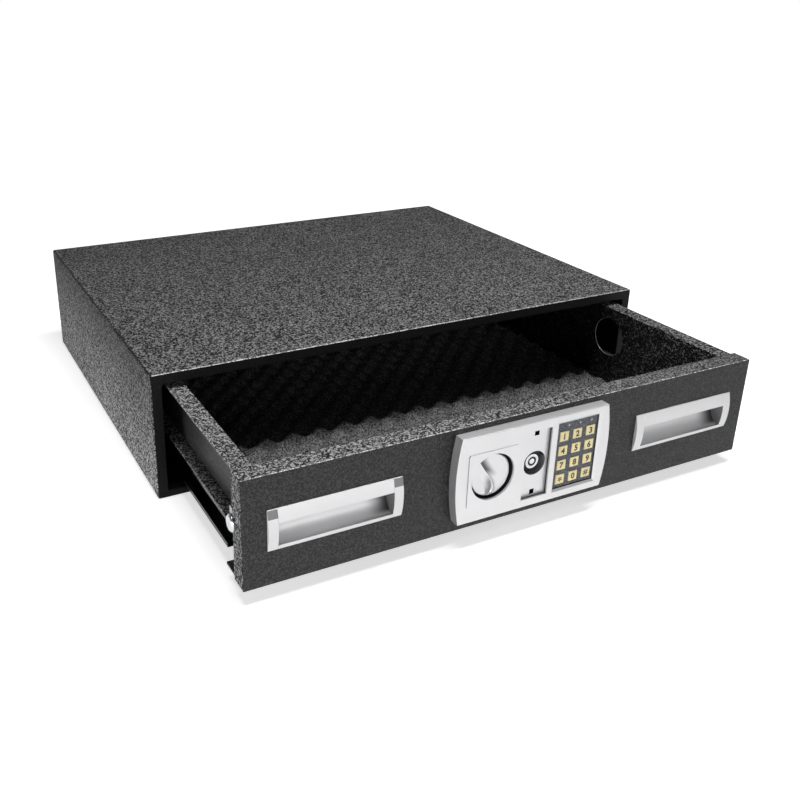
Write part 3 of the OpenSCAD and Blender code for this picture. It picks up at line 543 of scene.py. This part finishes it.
def makeCase():
    s = caseShape
    r, front, back, sheet = s["edgeRound"], s["front"], s["back"], s["sheet"]
    turns = [math.radians(30 * i) for i in range(s["edgeSteps"])]
    rings = [openRing(sheet, s["lipEnd"]), openRing(0, s["lipEnd"])]
    rings += [openRing(r * (1 - math.cos(t)), front + r * (1 - math.sin(t))) for t in turns]
    rings += [caseRing(r * (1 - math.sin(t)), front + r * (1 - math.cos(t))) for t in turns]
    rings += [caseRing(r * (1 - math.cos(t)), back - r * (1 - math.sin(t))) for t in turns]
    bm = bmesh.new()
    loops = skin(bm, rings)
    bm.faces.new(loops[-1])
    inner = skin(bm, [openRing(sheet, s["lipEnd"]), openRing(sheet, front + sheet),
                      caseRing(sheet, front + sheet), caseRing(sheet, back - sheet)])
    bm.faces.new(inner[-1])
    bmesh.ops.remove_doubles(bm, verts=bm.verts, dist=weld)
    bmesh.ops.recalc_face_normals(bm, faces=bm.faces)
    tint(bm, caseSpot)
    piece = addPiece(bm, "case_shell", "case",
                     [caseCoat, paintedHighlightCoat, paintedShadeCoat, paintedLightSideCoat],
                     ["case_wrapper", "case_back", "front_frame"])
    w, d = (v / 2 for v in s["holeSpacing"])
    drill(piece, [(x, y) for x in (-w, w) for y in (-d, d)], *s["holeReach"], s["holeRadius"])


makeCase()
print("case made")

# the drawer's sheet metal: bends and hems get the radius of folded steel
drawerShape = {
    "face": -0.460, "panelHalf": 0.309, "panelLow": 0.015, "panelHigh": 0.131,
    "panelDepth": 0.021, "panelCorner": 0.0032, "panelRound": 0.0006,
    "sideRound": 0.00055, "bracketRound": 0.0005, "slideRound": 0.00035, "innerRound": 0.0003,
    # the underside of the rim, and the cable hole's y, z and radius
    "rimUnder": 0.126, "hole": (-0.260, 0.0898, 0.025), "longEdge": 0.02,
    # how far the tints of the panel's folds and edges (painted highlight and sheen) and of the
    # hole's edge reach
    "foldBand": 0.0007, "edgeBand": 0.0005, "holeBand": 0.0007, "holeNear": 0.0002,
}


def onPanelFront(edge):
    s = drawerShape
    a, b = (v.co for v in edge.verts)
    corner = s["panelCorner"]
    outer = all(abs(p.x) > s["panelHalf"] - corner or p.z < s["panelLow"] + corner
                or p.z > s["panelHigh"] - corner for p in (a, b))
    near = all(abs(p.y - s["face"]) < close for p in (a, b))
    return outer and near


def onPanelRear(edge):
    s = drawerShape
    a, b = (v.co for v in edge.verts)
    near = all(abs(p.y - s["face"] - s["panelDepth"]) < close for p in (a, b))
    return near and all(abs(p.x) > s["panelHalf"] - close or p.z > s["panelHigh"] - close
                        for p in (a, b))


def panelSpot(middle, normal):
    # the top edge shows the coarsest grain, the sides a finer one, the face hardly any, as paler
    # coats that are painted sheen, and the folds beside the top edge get a painted highlight
    s = drawerShape
    if middle.z > s["panelHigh"] - s["foldBand"] and normal.z > 0.2 and abs(normal.y) > 0.2:
        return 3
    if middle.z > s["panelHigh"] - s["edgeBand"] and normal.z > 0.5:
        return 1
    side = abs(middle.x) > s["panelHalf"] - s["edgeBand"] and abs(normal.x) > 0.5
    return 2 if side else 0


def makeFrontPanel():
    s = drawerShape
    bm = cleanCopy("front_panel")
    roundOff(bm, [e for e in sharpEdges(bm) if onPanelFront(e)], s["panelRound"], 3)
    roundOff(bm, [e for e in sharpEdges(bm) if onPanelRear(e)], s["panelRound"], 2)
    tint(bm, panelSpot)
    addPiece(bm, "panel_piece", "drawer",
             [panelCoat, trayCoat, caseCoat, paintedHighlightCoat], ["front_panel"])


def byHole(edge):
    # edges of the cable hole, which is in the right side only
    y, z, radius = drawerShape["hole"]
    reach = radius + drawerShape["holeNear"]
    return all(v.co.x > 0 and math.hypot(v.co.y - y, v.co.z - z) < reach for v in edge.verts)


def longWays(edge):
    # edges that run along the drawer or across it, but not the short upright ones
    a, b = (v.co for v in edge.verts)
    return (b - a).length > drawerShape["longEdge"]


def sideSpot(middle, normal):
    # the rim has the coarse coat, the wall a plain one outside and inside a flecked one whose
    # painted shade deepens into the case, and the cable hole's edge is paler where it faces left
    y, z, radius = drawerShape["hole"]
    reach = radius + drawerShape["holeBand"]
    if middle.x > 0 and math.hypot(middle.y - y, middle.z - z) < reach:
        return 3 if normal.x < -0.1 else 1
    if abs(normal.x) < 0.7 or middle.z > drawerShape["rimUnder"]:
        return 0
    return 1 if middle.x * normal.x > 0 else 2


def makeSheetMetal():
    s = drawerShape
    for side in ("left", "right"):
        left = side == "left"
        # painted light and shade: the left rim and bracket get the paler tray coat, the right rim
        # the case's coat and the right bracket the panel's darker one
        rim, bracket = (trayCoat, trayCoat) if left else (caseCoat, panelCoat)
        softened("drawer_side_" + side, "drawer",
                 [rim, panelCoat, wallCoat, paintedShadeAndHoleEdgeSilver], s["sideRound"], 3,
                 lambda edge: longWays(edge) or byHole(edge), sideSpot)
        softened("slide_bracket_" + side, "drawer", bracket, s["bracketRound"], 2,
                 longWays)
        for node, body, width in (
                ("slide_drawer_" + side, "drawer", s["slideRound"]),
                ("slide_middle_" + side, "slide_middle_" + side, s["innerRound"]),
                ("slide_case_" + side, "case", s["innerRound"])):
            softened(node, body, slideSteel, width, 2, longWays)
    for node in ("drawer_back", "mechanism_cover"):
        softened(node, "drawer", trayCoat, s["sideRound"], 3, longWays)


makeFrontPanel()
makeSheetMetal()
print("sheet metal made")

# the foam liner: egg-crate humps cut from a slab
foamShape = {
    "Width": 0.5734, "Length": 0.4302, "Middle Y": -0.1966, "Base": 0.0190,
    "Crest": 0.0308, "Hump": 0.0048, "Pitch": 0.0343, "Phase X": 0.018, "Phase Y": -0.2227,
}
foamMesh = {"counts": (168, 126, 3), "blotches": 45, "uneven": 0.0016, "sharp": 50}


def eggCrateTree():
    tree = bpy.data.node_groups.new("eggCrate", "GeometryNodeTree")
    face = tree.interface
    face.new_socket("Geometry", in_out="OUTPUT", socket_type="NodeSocketGeometry")
    for name in foamShape:
        face.new_socket(name, in_out="INPUT", socket_type="NodeSocketFloat")
    face.new_socket("Finish", in_out="INPUT", socket_type="NodeSocketMaterial")
    given = tree.nodes.new("NodeGroupInput").outputs
    done = tree.nodes.new("NodeGroupOutput")

    def step(kind, a, b):
        return combine(tree, kind, a, b)

    def vector(x, y, z):
        return fill(tree.nodes.new("ShaderNodeCombineXYZ"), (x, y, z))

    slab = tree.nodes.new("GeometryNodeMeshCube")
    for axis, count in zip("XYZ", foamMesh["counts"]):
        slab.inputs["Vertices " + axis].default_value = count
    high = step("SUBTRACT", given["Crest"], given["Base"])
    feed(slab, "Size", vector(given["Width"], given["Length"], high))
    move = tree.nodes.new("GeometryNodeTransform")
    feed(move, "Geometry", slab.outputs["Mesh"])
    middle = step("MULTIPLY", step("ADD", given["Crest"], given["Base"]), 0.5)
    feed(move, "Translation", vector(0.0, given["Middle Y"], middle))
    place = tree.nodes.new("GeometryNodeInputPosition")
    split = tree.nodes.new("ShaderNodeSeparateXYZ")
    feed(split, 0, place.outputs[0])

    def wave(axis, phase):
        turn = step("DIVIDE", step("SUBTRACT", split.outputs[axis], given[phase]), given["Pitch"])
        return step("COSINE", step("MULTIPLY", turn, math.tau), 0.0)

    humps = step("MULTIPLY", wave("X", "Phase X"), wave("Y", "Phase Y"))
    rough = tree.nodes.new("ShaderNodeTexNoise")
    rough.inputs["Scale"].default_value = foamMesh["blotches"]
    feed(rough, "Vector", place.outputs[0])
    uneven = step("MULTIPLY", step("SUBTRACT", rough.outputs["Fac"], 0.5), foamMesh["uneven"])
    drop = step("MULTIPLY", step("SUBTRACT", humps, 1.0), given["Hump"])
    drop = step("MINIMUM", step("ADD", drop, uneven), 0.0)
    share = step("DIVIDE", step("SUBTRACT", split.outputs["Z"], given["Base"]), high)
    shift = tree.nodes.new("GeometryNodeSetPosition")
    feed(shift, "Geometry", move.outputs["Geometry"])
    feed(shift, "Offset", vector(0.0, 0.0, step("MULTIPLY", drop, share)))
    real = tree.nodes.new("GeometryNodeRealizeInstances")
    feed(real, "Geometry", shift.outputs["Geometry"])
    paint = tree.nodes.new("GeometryNodeSetMaterial")
    feed(paint, "Geometry", real.outputs["Geometry"])
    feed(paint, "Material", given["Finish"])
    feed(done, "Geometry", paint.outputs["Geometry"])
    return tree


def makeFoam():
    tree = eggCrateTree()
    piece = addObject("foam", bpy.data.meshes.new("foam"))
    made = piece.modifiers.new("eggCrate", "NODES")
    made.node_group = tree
    for item in tree.interface.items_tree:
        if item.in_out == "INPUT":
            made[item.identifier] = foamBlack if item.name == "Finish" else foamShape[item.name]
    settle(piece)
    piece.data.polygons.foreach_set("use_smooth", [True] * len(piece.data.polygons))
    piece.data.set_sharp_from_angle(angle=math.radians(foamMesh["sharp"]))
    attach(piece, "drawer")
    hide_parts("foam_liner")


makeFoam()
print("foam made")

# bolts: turned steel with a groove behind the head
boltShape = {
    "inner": 0.290, "tip": 0.312, "y": -0.437, "z": 0.076, "radius": 0.00875,
    "chamfer": 0.0015, "grooveFrom": 0.0062, "grooveTo": 0.0078, "grooveDepth": 0.0006,
    # softened corners: at the back, elsewhere, and the chamfer's in three small steps
    "backSoft": 0.0004, "soft": 0.0002, "chamferSoft": (0.00012, 0.00015, 0.0001),
    # the lathe centre's radius and depth
    "centre": (0.0016, 0.0008), "steps": 64,
}


def makeBolt(side, sign):
    s = boltShape
    r, tip, inner, chamfer = s["radius"], s["tip"], s["inner"], s["chamfer"]
    g0, g1, gr = tip - s["grooveFrom"], tip - s["grooveTo"], r - s["grooveDepth"]
    soft, back = s["soft"], s["backSoft"]
    down, along, up = s["chamferSoft"]
    width, depth = s["centre"]
    line = [(inner, 0.0), (inner, r - back), (inner + back, r),
            (g1 - soft, r), (g1, r - soft), (g1 + soft, gr), (g0 - soft, gr),
            (g0, r - soft), (g0 + soft, r), (tip - chamfer - soft, r),
            (tip - chamfer, r - down), (tip - along, r - chamfer + up),
            (tip, r - chamfer - soft), (tip, width), (tip - depth, 0.0)]
    bm = bmesh.new()
    verts = [bm.verts.new((sign * x, s["y"] + q, s["z"])) for x, q in line]
    edges = [bm.edges.new(pair) for pair in zip(verts, verts[1:])]
    bmesh.ops.spin(bm, geom=verts + edges, cent=(0, s["y"], s["z"]), axis=(1, 0, 0),
                   angle=math.tau, steps=s["steps"], use_merge=True)
    bmesh.ops.remove_doubles(bm, verts=bm.verts, dist=weld)
    bmesh.ops.recalc_face_normals(bm, faces=bm.faces)
    addPiece(bm, "bolt_head_" + side, "bolt_" + side, boltChrome,
             ["bolt_" + side])


makeBolt("left", -1)
makeBolt("right", 1)
print("bolts made")

# handles: bowed troughs between end caps, with painted shade towards the right end of the bowl
handleShape = {
    "face": -0.460, "round": 0.0004,
    # the painted shade's reach from the right end, its most, and the depths between which it
    # grows
    "paintedShade": 0.026, "most": 0.97, "paintedShadeFrom": 0.001, "paintedShadeOver": 0.005,
    "step": 0.003, "cuts": 11,
}
# split and top bound the painted reflection on the left handle's caps
capShape = {"split": 0.0862, "top": 0.0945, "round": 0.0005, "inside": 0.0008}


def makeHandle(side):
    s = handleShape
    node = "handle_" + side
    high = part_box(node)[1]
    bm = cleanCopy(node)
    roundOff(bm, sharpEdges(bm), s["round"], 3)
    for k in range(1, s["cuts"] + 1):
        cutAcross(bm, (high.x - k * s["step"], 0, 0), (1, 0, 0))
    # painted shade: the bowl darkens towards its right end and deeper in
    paintedShadeShare = bm.verts.layers.float.new("paintedShadeShare")
    for vert in bm.verts:
        near = ease(1 - (high.x - vert.co.x) / s["paintedShade"])
        deep = grow(vert.co.y - s["face"], s["paintedShadeFrom"], s["paintedShadeOver"])
        vert[paintedShadeShare] = s["most"] * near * deep
    addPiece(bm, node + "_piece", "drawer", handleSilver, [node])


def capSpot(middle, normal):
    # a painted reflection as a grey block on the left handle's caps, and painted shade on the
    # caps' ends inside the bowls
    s = capShape
    paintedReflection = s["split"] < middle.z < s["top"] and normal.y < -0.3 and middle.x < 0
    end = abs(normal.x) > 0.6 and middle.y > handleShape["face"] + s["inside"]
    return int(paintedReflection or end)


def makeCaps():
    s = capShape
    bm = cleanCopy("handle_caps")
    cutAcross(bm, (0, 0, s["split"]), (0, 0, 1))
    roundOff(bm, sharpEdges(bm), s["round"], 3)
    tint(bm, capSpot)
    addPiece(bm, "cap_pair", "drawer", [handleSilver, paintedShadeAndReflectionGrey], ["handle_caps"])


makeHandle("left")
makeHandle("right")
makeCaps()
print("handles made")

# the lock plate: its outer edge is rounder than the edges of its openings
plateShape = {
    "face": -0.472, "x": 0.0032, "z": 0.0768, "halfWidth": 0.095, "halfHeight": 0.0478,
    "outerRound": 0.0011, "innerRound": 0.00035, "arc": 0.231, "skin": 0.0012,
    # x, z and radius of the two wells, and the seat's lower and upper corner
    "knob": (-0.0488, 0.0758, 0.0256), "key": (0.0052, 0.0758, 0.0137),
    "seat": ((-0.0115, 0.0373), (0.0219, 0.1155)),
    # the raised frame's left top corner, and the keypad window's middle and half size
    "frame": (-0.0783, 0.1053), "window": (0.0567, 0.077, 0.0275, 0.0395),
    # depths behind the face at which the painted shade changes
    "cut": 0.0019, "knobWell": 0.0022, "keyWell": 0.0043, "inside": 0.0045,
    "gap": (0.00255, 0.0031), "seatWall": 0.0004, "openings": 0.0081,
    "frameBand": 0.0016, "keyTop": 0.004, "endBand": 0.006,
}


def onPlateRim(edge):
    s = plateShape
    a, b = (v.co for v in edge.verts)
    if any(abs(p.y - s["face"]) > close for p in (a, b)):
        return False
    return all(abs(abs(p.z - s["z"]) - s["halfHeight"]) < close
               or abs(p.x - s["x"]) > s["halfWidth"] - s["endBand"] for p in (a, b))


def plateSpot(middle, normal):
    # painted shade: the knob's well, the shell's inside, the window's inner wall and gap line are
    # black, the key's well grey with a black top, the frame's left walls and the plate's left
    # side grey, and the seat's right and lower walls a duller silver
    s = plateShape
    deep = middle.y - s["face"]
    x, z, radius = s["knob"]
    if math.hypot(middle.x - x, middle.z - z) < radius:
        return int(deep > s["knobWell"])
    x, z, radius = s["key"]
    if math.hypot(middle.x - x, middle.z - z) < radius:
        return 0 if deep < s["keyWell"] else 1 if middle.z > z + s["keyTop"] else 2
    frameX, frameZ = s["frame"]
    if deep < -close:
        band = s["frameBand"]
        corner = middle.x < frameX + band and middle.z > frameZ - band
        return 1 if corner and normal.x < -0.3 else 2 if normal.x < -0.6 else 0
    windowX, windowZ, halfX, halfZ = s["window"]
    if (abs(middle.x - windowX) < halfX and abs(middle.z - windowZ) < halfZ
            and deep > s["cut"]):
        return 1
    x, z = middle.x - s["x"], middle.z - s["z"]
    side = math.sqrt(s["arc"] ** 2 - z * z) - s["arc"] + s["halfWidth"]
    if abs(x) > side - s["skin"] or abs(z) > s["halfHeight"] - s["skin"]:
        return 2 if normal.x < -0.75 else 0
    gap = s["gap"][0] < deep < s["gap"][1] and abs(normal.y) < 0.3
    if deep > s["inside"] or normal.y > 0.5 or gap:
        return 1
    low, high = s["seat"]
    inside = low[0] < middle.x < high[0] and low[1] < middle.z < high[1]
    wall = deep > s["seatWall"] and (normal.x < -0.6 or normal.z > 0.6)
    return 3 if inside and wall else 0


def makeLockPlate():
    s = plateShape
    bm = cleanCopy("lock_bezel")
    roundOff(bm, [e for e in sharpEdges(bm) if onPlateRim(e)], s["outerRound"], 3)
    front = [e for e in sharpEdges(bm)
             if all(v.co.y < s["face"] + s["openings"] for v in e.verts)
             and not onPlateRim(e)]
    roundOff(bm, front, s["innerRound"], 2)
    cutAcross(bm, (0, s["face"] + s["cut"], 0), (0, 1, 0))
    # painted shade in the wells, the window, the shell's inside, the seat walls and the left side
    tint(bm, plateSpot)
    addPiece(bm, "lock_plate", "drawer",
             [lockSilver, paintedShadeBlack, paintedShadeGrey, paintedShadeAndHoleEdgeSilver], ["lock_bezel"])


makeLockPlate()
print("lock plate made")

# the knob: a disc whose face rises to an S-shaped ridge with a scoop on either side; the
# ridge and the foot are (height, place across) in millimetres
knobShape = {
    "x": -0.0488, "z": 0.0758, "radius": 0.0230, "face": -0.4685, "back": -0.4635,
    "ridge": [(17.75, -15.0), (7.1, -8.1), (-1.0, -1.9), (-10.4, 1.25), (-17.9, 0.6),
              (-22.9, -3.1)],
    "leftFoot": [(23.0, -21.0), (5.0, -21.0), (2.0, -14.0), (-3.0, -12.0), (-14.0, -7.0),
                 (-22.9, -3.6)],
    "high": 0.0019, "scoop": 0.0037, "guard": 0.0022, "edge": 0.0009, "skirt": 0.0006,
    # these are in millimetres, and pairs are (start, over): the reach up and down, the
    # ridge's ends, the upper part's share, the scoop's growth away from the middle
    "reach": 23, "ridgeEnd": 5, "upper": (-16, 20), "deeper": (5, 5),
    # left of the ridge: the dip's share of the scoop, where it fades, its ends and its form
    "dip": 0.55, "dipFade": (-8, 10), "dipEnd": 6, "bow": 1.6, "lean": 0.35,
    # right of the ridge: the wall's and the scoop's width, and what they change lower down
    "wall": (1.0, 5.0), "width": (15.0, -4.0),
    # the mesh: rows up the disc, and columns left of the ridge, beside it and beyond
    "rows": 72, "left": 22, "beside": [0.02, 0.045, 0.075, 0.11, 0.15, 0.2], "right": 16,
    "margin": 0.3, "sharp": 46,
}
# the painted shade's most, where it fades away from the ridge and over how much, and its growth
# with the height and from the ridge on
knobPaintedShade = {"right": (0.86, 3.5, 9), "left": (0.7, 1.5, 6), "rightUp": (-5, 12),
             "leftDown": (-6, 16), "leftFrom": (0, 0.6)}


def alongCurve(points, v):
    # the curve's x at height v, smooth through the given points
    points = sorted(points)
    if v <= points[0][0]:
        return points[0][1]
    if v >= points[-1][0]:
        return points[-1][1]
    for i in range(len(points) - 1):
        (v0, u0), (v1, u1) = points[i], points[i + 1]
        if v0 <= v <= v1:
            before = points[max(i - 1, 0)]
            after = points[min(i + 2, len(points) - 1)]
            t = (v - v0) / (v1 - v0)
            m0 = (u1 - before[1]) / (v1 - before[0]) * (v1 - v0)
            m1 = (after[1] - u0) / (after[0] - v0) * (v1 - v0)
            return ((2 * t ** 3 - 3 * t ** 2 + 1) * u0 + (t ** 3 - 2 * t ** 2 + t) * m0
                    + (3 * t ** 2 - 2 * t ** 3) * u1 + (t ** 3 - t ** 2) * m1)


def knobHeight(u, v):
    # millimetres in, metres out; positive towards the hand
    s = knobShape
    ridge = alongCurve(s["ridge"], v)
    upper = grow(v, *s["upper"])
    toEnd = s["reach"] - abs(v)
    top = s["high"] * ease(toEnd / s["ridgeEnd"])
    deeper = grow(math.hypot(u, v), *s["deeper"])
    scoop = (s["guard"] + (s["scoop"] - s["guard"]) * deeper) * upper
    d = u - ridge
    if d <= 0:
        foot = alongCurve(s["leftFoot"], v)
        t = (u - foot) / max(ridge - foot, 0.5)
        dip = s["scoop"] * s["dip"] * (1 - grow(v, *s["dipFade"])) * ease(toEnd / s["dipEnd"])
        t = min(max(t, 0.0), 1.0)
        return top * t ** s["bow"] - dip * 4 * t * (1 - t) * (s["lean"] + t)
    wall, width = (s[name][0] + s[name][1] * (1 - upper) for name in ("wall", "width"))
    fall = ease(d / wall)
    rise = ease(d / width)
    return top * (1 - fall) - scoop * fall * (1 - rise)


def knobPaintedShadeShare(u, v):
    # painted shade: how dark the metal is painted, most beside the ridge, right of its top and
    # left of its foot
    s = knobPaintedShade
    d = u - alongCurve(knobShape["ridge"], v)
    most, start, over = s["right" if d > 0 else "left"]
    share = most * (1 - grow(abs(d), start, over))
    if d > 0:
        return share * grow(v, *s["rightUp"])
    return share * grow(-v, *s["leftDown"]) * grow(-d, *s["leftFrom"])


def makeKnob():
    s = knobShape
    radius = s["radius"] * 1000
    bm = bmesh.new()
    paintedShadeShare = bm.verts.layers.float.new("paintedShadeShare")
    # places from -1 at the left rim over 0 on the ridge to 1 at the right rim
    last = s["beside"][-1]
    across = [-1 + i / s["left"] for i in range(s["left"])] + [0.0] + s["beside"]
    across += [last + (1 - last) * (i + 1) / s["right"] for i in range(s["right"])]
    edge = s["edge"] * 1000
    margin, count = s["margin"], s["rows"]
    rows = []
    for k in range(1, count):
        v = -radius * math.cos(math.pi * k / count)
        half = math.sqrt(radius ** 2 - v ** 2)
        ridge = min(max(alongCurve(s["ridge"], v), -half + margin), half - margin)
        row = []
        for t in across:
            u = ridge + (t * (ridge + half) if t < 0 else t * (half - ridge))
            h = knobHeight(u, v)
            rim = radius - math.hypot(u, v)
            if rim < edge:
                h -= (edge - math.sqrt(max(edge ** 2 - (edge - rim) ** 2, 0))) / 1000
            vert = bm.verts.new((s["x"] + u / 1000, s["face"] - h, s["z"] + v / 1000))
            # painted shade beside the ridge
            vert[paintedShadeShare] = knobPaintedShadeShare(u, v)
            row.append(vert)
        rows.append(row)
    for a, b in zip(rows, rows[1:]):
        for i in range(len(a) - 1):
            bm.faces.new((a[i], a[i + 1], b[i + 1], b[i]))
    for row, sign in ((rows[0], -1), (rows[-1], 1)):
        pole = bm.verts.new((s["x"], s["face"] + s["edge"], s["z"] + sign * s["radius"]))
        for i in range(len(row) - 1):
            bm.faces.new((row[i], row[i + 1], pole))
    border = [e for e in bm.edges if len(e.link_faces) == 1]
    walls = bmesh.ops.extrude_edge_only(bm, edges=border)["geom"]
    for v in walls:
        if isinstance(v, bmesh.types.BMVert):
            v.co.y = s["back"]
    back = [e for e in bm.edges if len(e.link_faces) == 1]
    bmesh.ops.contextual_create(bm, geom=back)
    bmesh.ops.recalc_face_normals(bm, faces=bm.faces)
    skirt = s["face"] + s["skirt"]
    # painted shade: the knob's sides inside the well are black
    tint(bm, lambda middle, normal: int(abs(normal.y) < 0.2 and middle.y > skirt))
    addPiece(bm, "knob_grip", "knob", [knobSilver, paintedShadeBlack], ["knob"],
             s["sharp"])


makeKnob()
print("knob made")

# keys: caps with rounded edges and a raised character; the font's star is small, and the
# star and the hash sign are thickened less than the digits
keyShape = {"size": 0.0068, "raise": 0.00012, "round": 0.0006, "starGrow": 1.9,
            "digitGrow": 1.38, "signBold": 0.0001, "digitBold": 0.00024}
signNames = {"*": "star", "#": "hash"}


def characterMesh(sign, centre, front):
    s = keyShape
    text = bpy.data.curves.new("sign", "FONT")
    text.body = sign
    text.size = s["size"] * (s["starGrow"] if sign == "*" else s["digitGrow"])
    text.extrude = s["raise"]
    text.offset = s["signBold"] if sign in "*#" else s["digitBold"]
    text.resolution_u = 4
    holder = addObject("sign", text)
    graph = bpy.context.evaluated_depsgraph_get()
    mesh = bpy.data.meshes.new_from_object(holder.evaluated_get(graph))
    bpy.data.objects.remove(holder)
    mesh.transform(Matrix.Rotation(math.radians(90), 4, "X"))
    xs = [v.co.x for v in mesh.vertices]
    zs = [v.co.z for v in mesh.vertices]
    mesh.transform(Matrix.Translation((centre.x - (min(xs) + max(xs)) / 2, front,
                                       centre.z - (min(zs) + max(zs)) / 2)))
    return mesh


def makeKey(sign, node):
    low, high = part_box(node)
    bm = cleanCopy(node)
    roundOff(bm, sharpEdges(bm), keyShape["round"], 3)
    mesh = characterMesh(sign, (low + high) / 2, low.y)
    plain = set(bm.faces)
    bm.from_mesh(mesh)
    for face in bm.faces:
        if face not in plain:
            face.material_index = 1
    addPiece(bm, node + "_cap", node, [keyCream, keyInk], [node])


for sign in "123456789*0#":
    makeKey(sign, "key_" + signNames.get(sign, sign))
print("keys made")

# the key lock's face is bright and its barrel painted black as shade, with a black ring as the
# keyway's painted shade; the board carries three clear lamps
lockShape = {
    "face": -0.4642, "round": 0.0001, "x": 0.0052, "z": 0.0758,
    "seal": (0.0046, 0.0051), "sealFront": -0.4643, "sealSteps": 48, "lampFront": -0.4680,
}


def makeLockFace():
    s = lockShape
    behind = s["face"] + close
    for node, body in (("key_cylinder", "drawer"), ("key_plug", "key_plug")):
        bm = cleanCopy(node)
        near = [e for e in sharpEdges(bm) if all(v.co.y < behind for v in e.verts)]
        roundOff(bm, near, s["round"], 2)
        # painted shade: the barrel behind the face is black
        tint(bm, lambda middle, normal: int(middle.y > behind))
        addPiece(bm, node + "_face", body, [boltChrome, paintedShadeBlack], [node])


def makeKeySeal():
    s = lockShape
    inner, outer = s["seal"]
    turns = [math.tau * i / s["sealSteps"] for i in range(s["sealSteps"])]
    bm = bmesh.new()
    skin(bm, [[Vector((s["x"] + r * math.cos(a), y, s["z"] + r * math.sin(a))) for a in turns]
              for r, y in ((inner, s["face"]), (inner, s["sealFront"]), (outer, s["sealFront"]),
                           (outer, s["face"]))], True)
    bmesh.ops.recalc_face_normals(bm, faces=bm.faces)
    # a black ring as painted shade in the keyway
    addPiece(bm, "key_seal", "key_plug", paintedShadeBlack)


def makeBoard():
    bm = cleanCopy("circuit_board")
    tint(bm, lambda middle, normal: int(middle.y < lockShape["lampFront"]))
    addPiece(bm, "board_lamps", "drawer", [boardGreen, lampLens],
             ["circuit_board"])


makeLockFace()
makeKeySeal()
makeBoard()
print("key lock and lamps made")

# everything else keeps its CAD shape and gets its finish
finishes = (
    (zincSteel, "case_rail_left case_rail_right case_screws drawer_screws spindle_bush "
     "bolt_guides bolt_bar_left bolt_bar_right cam_shaft plunger"),
    (ballSteel, "cage_outer_left cage_outer_right cage_inner_left cage_inner_right"),
    (trayCoat, "drawer_floor battery_cover"),
    (padSlate, "keypad_plate"),
    (boxBlack, "battery_box"),
    (coilDark, "solenoid"),
    (cellWrap, "batteries"),
    (buttonRed, "reset_button"),
)
for material, names in finishes:
    for name in names.split():
        mesh = nodes[name].data
        mesh.materials.clear()
        mesh.materials.append(material)
print("finishes set")

# studio: a white floor that runs into a white surround, and soft lamps
studio = {
    "surround": 0.08,
    "ceiling": 0.22,
    "horizon": (0.02, 0.3),
    # the floor lies a little under the object and turns white between two distances
    "floorSize": 6, "floorDrop": 0.0004, "floorGrey": 0.8, "floorRough": 0.7,
    "floorGlow": 0.58, "floorMirror": 0.3, "floorFar": (0.7, 1.5),
    "lamps": [
        # name, place, aimed at, width, height, watts
        ("top", (0.05, -0.47, 1.85), (0.05, -0.35, 0.0), 1.4, 0.4, 36),
        ("front", (-0.3, -2.1, 0.5), (0.0, -0.3, 0.07), 2.6, 0.6, 11.5),
        ("left", (-1.1, -0.5, 0.1), (-0.325, -0.1, 0.03), 0.6, 0.12, 4.5),
    ],
}


def rayKinds(tree):
    # whether a ray comes from the camera, and whether it was mirrored or let through
    rays = tree.nodes.new("ShaderNodeLightPath").outputs
    mirrored = combine(tree, "MAXIMUM", rays["Is Glossy Ray"], rays["Is Transmission Ray"])
    return rays["Is Camera Ray"], mirrored


def makeFloor():
    bm = bmesh.new()
    bmesh.ops.create_grid(bm, x_segments=1, y_segments=1, size=studio["floorSize"])
    floor = addObject("floor", toMesh(bm, "floor"))
    floor.location.z = -studio["floorDrop"]
    material, tree, shader, place = startMaterial("floorWhite")
    grey = studio["floorGrey"]
    shader.inputs["Base Color"].default_value = (grey, grey, grey, 1)
    shader.inputs["Roughness"].default_value = studio["floorRough"]
    out = shader.outputs[0].links[0].to_node
    direct, mirrored = rayKinds(tree)
    reach = tree.nodes.new("ShaderNodeVectorMath")
    reach.operation = "LENGTH"
    feed(reach, 0, place)
    far = spread(tree, reach.outputs["Value"], *studio["floorFar"], studio["floorGlow"], 1.0)
    seen = combine(tree, "MAXIMUM", combine(tree, "MULTIPLY", direct, far),
                   combine(tree, "MULTIPLY", mirrored, studio["floorMirror"]))
    glow = tree.nodes.new("ShaderNodeEmission")
    feed(glow, "Strength", seen)
    both = tree.nodes.new("ShaderNodeAddShader")
    feed(both, 0, shader.outputs[0])
    feed(both, 1, glow.outputs[0])
    feed(out, 0, both.outputs[0])
    floor.data.materials.append(material)


def makeSurround():
    world = bpy.data.worlds.new("surround")
    world.use_nodes = True
    bpy.context.scene.world = world
    tree = world.node_tree
    back = tree.nodes["Background"]
    back.inputs["Color"].default_value = (1, 1, 1, 1)
    direct, mirrored = rayKinds(tree)
    way = tree.nodes.new("ShaderNodeSeparateXYZ")
    feed(way, 0, tree.nodes.new("ShaderNodeTexCoord").outputs["Generated"])
    # mirrored rays see white up to the horizon and a darker ceiling above it
    fall = spread(tree, way.outputs["Z"], *studio["horizon"], 1.0, studio["ceiling"])
    seen = combine(tree, "MAXIMUM", direct, combine(tree, "MULTIPLY", mirrored, fall))
    feed(back, "Strength", combine(tree, "MAXIMUM", seen, studio["surround"]))


def makeLamps():
    for name, place, target, width, height, watts in studio["lamps"]:
        lamp = bpy.data.lights.new(name, "AREA")
        lamp.shape = "RECTANGLE"
        lamp.size, lamp.size_y, lamp.energy = width, height, watts
        holder = addObject(name, lamp)
        holder.location = place
        away = Vector(target) - Vector(place)
        holder.rotation_euler = away.to_track_quat("-Z", "Y").to_euler()


makeFloor()
makeSurround()
makeLamps()
bpy.context.scene.view_settings.view_transform = "Standard"
print("studio made")
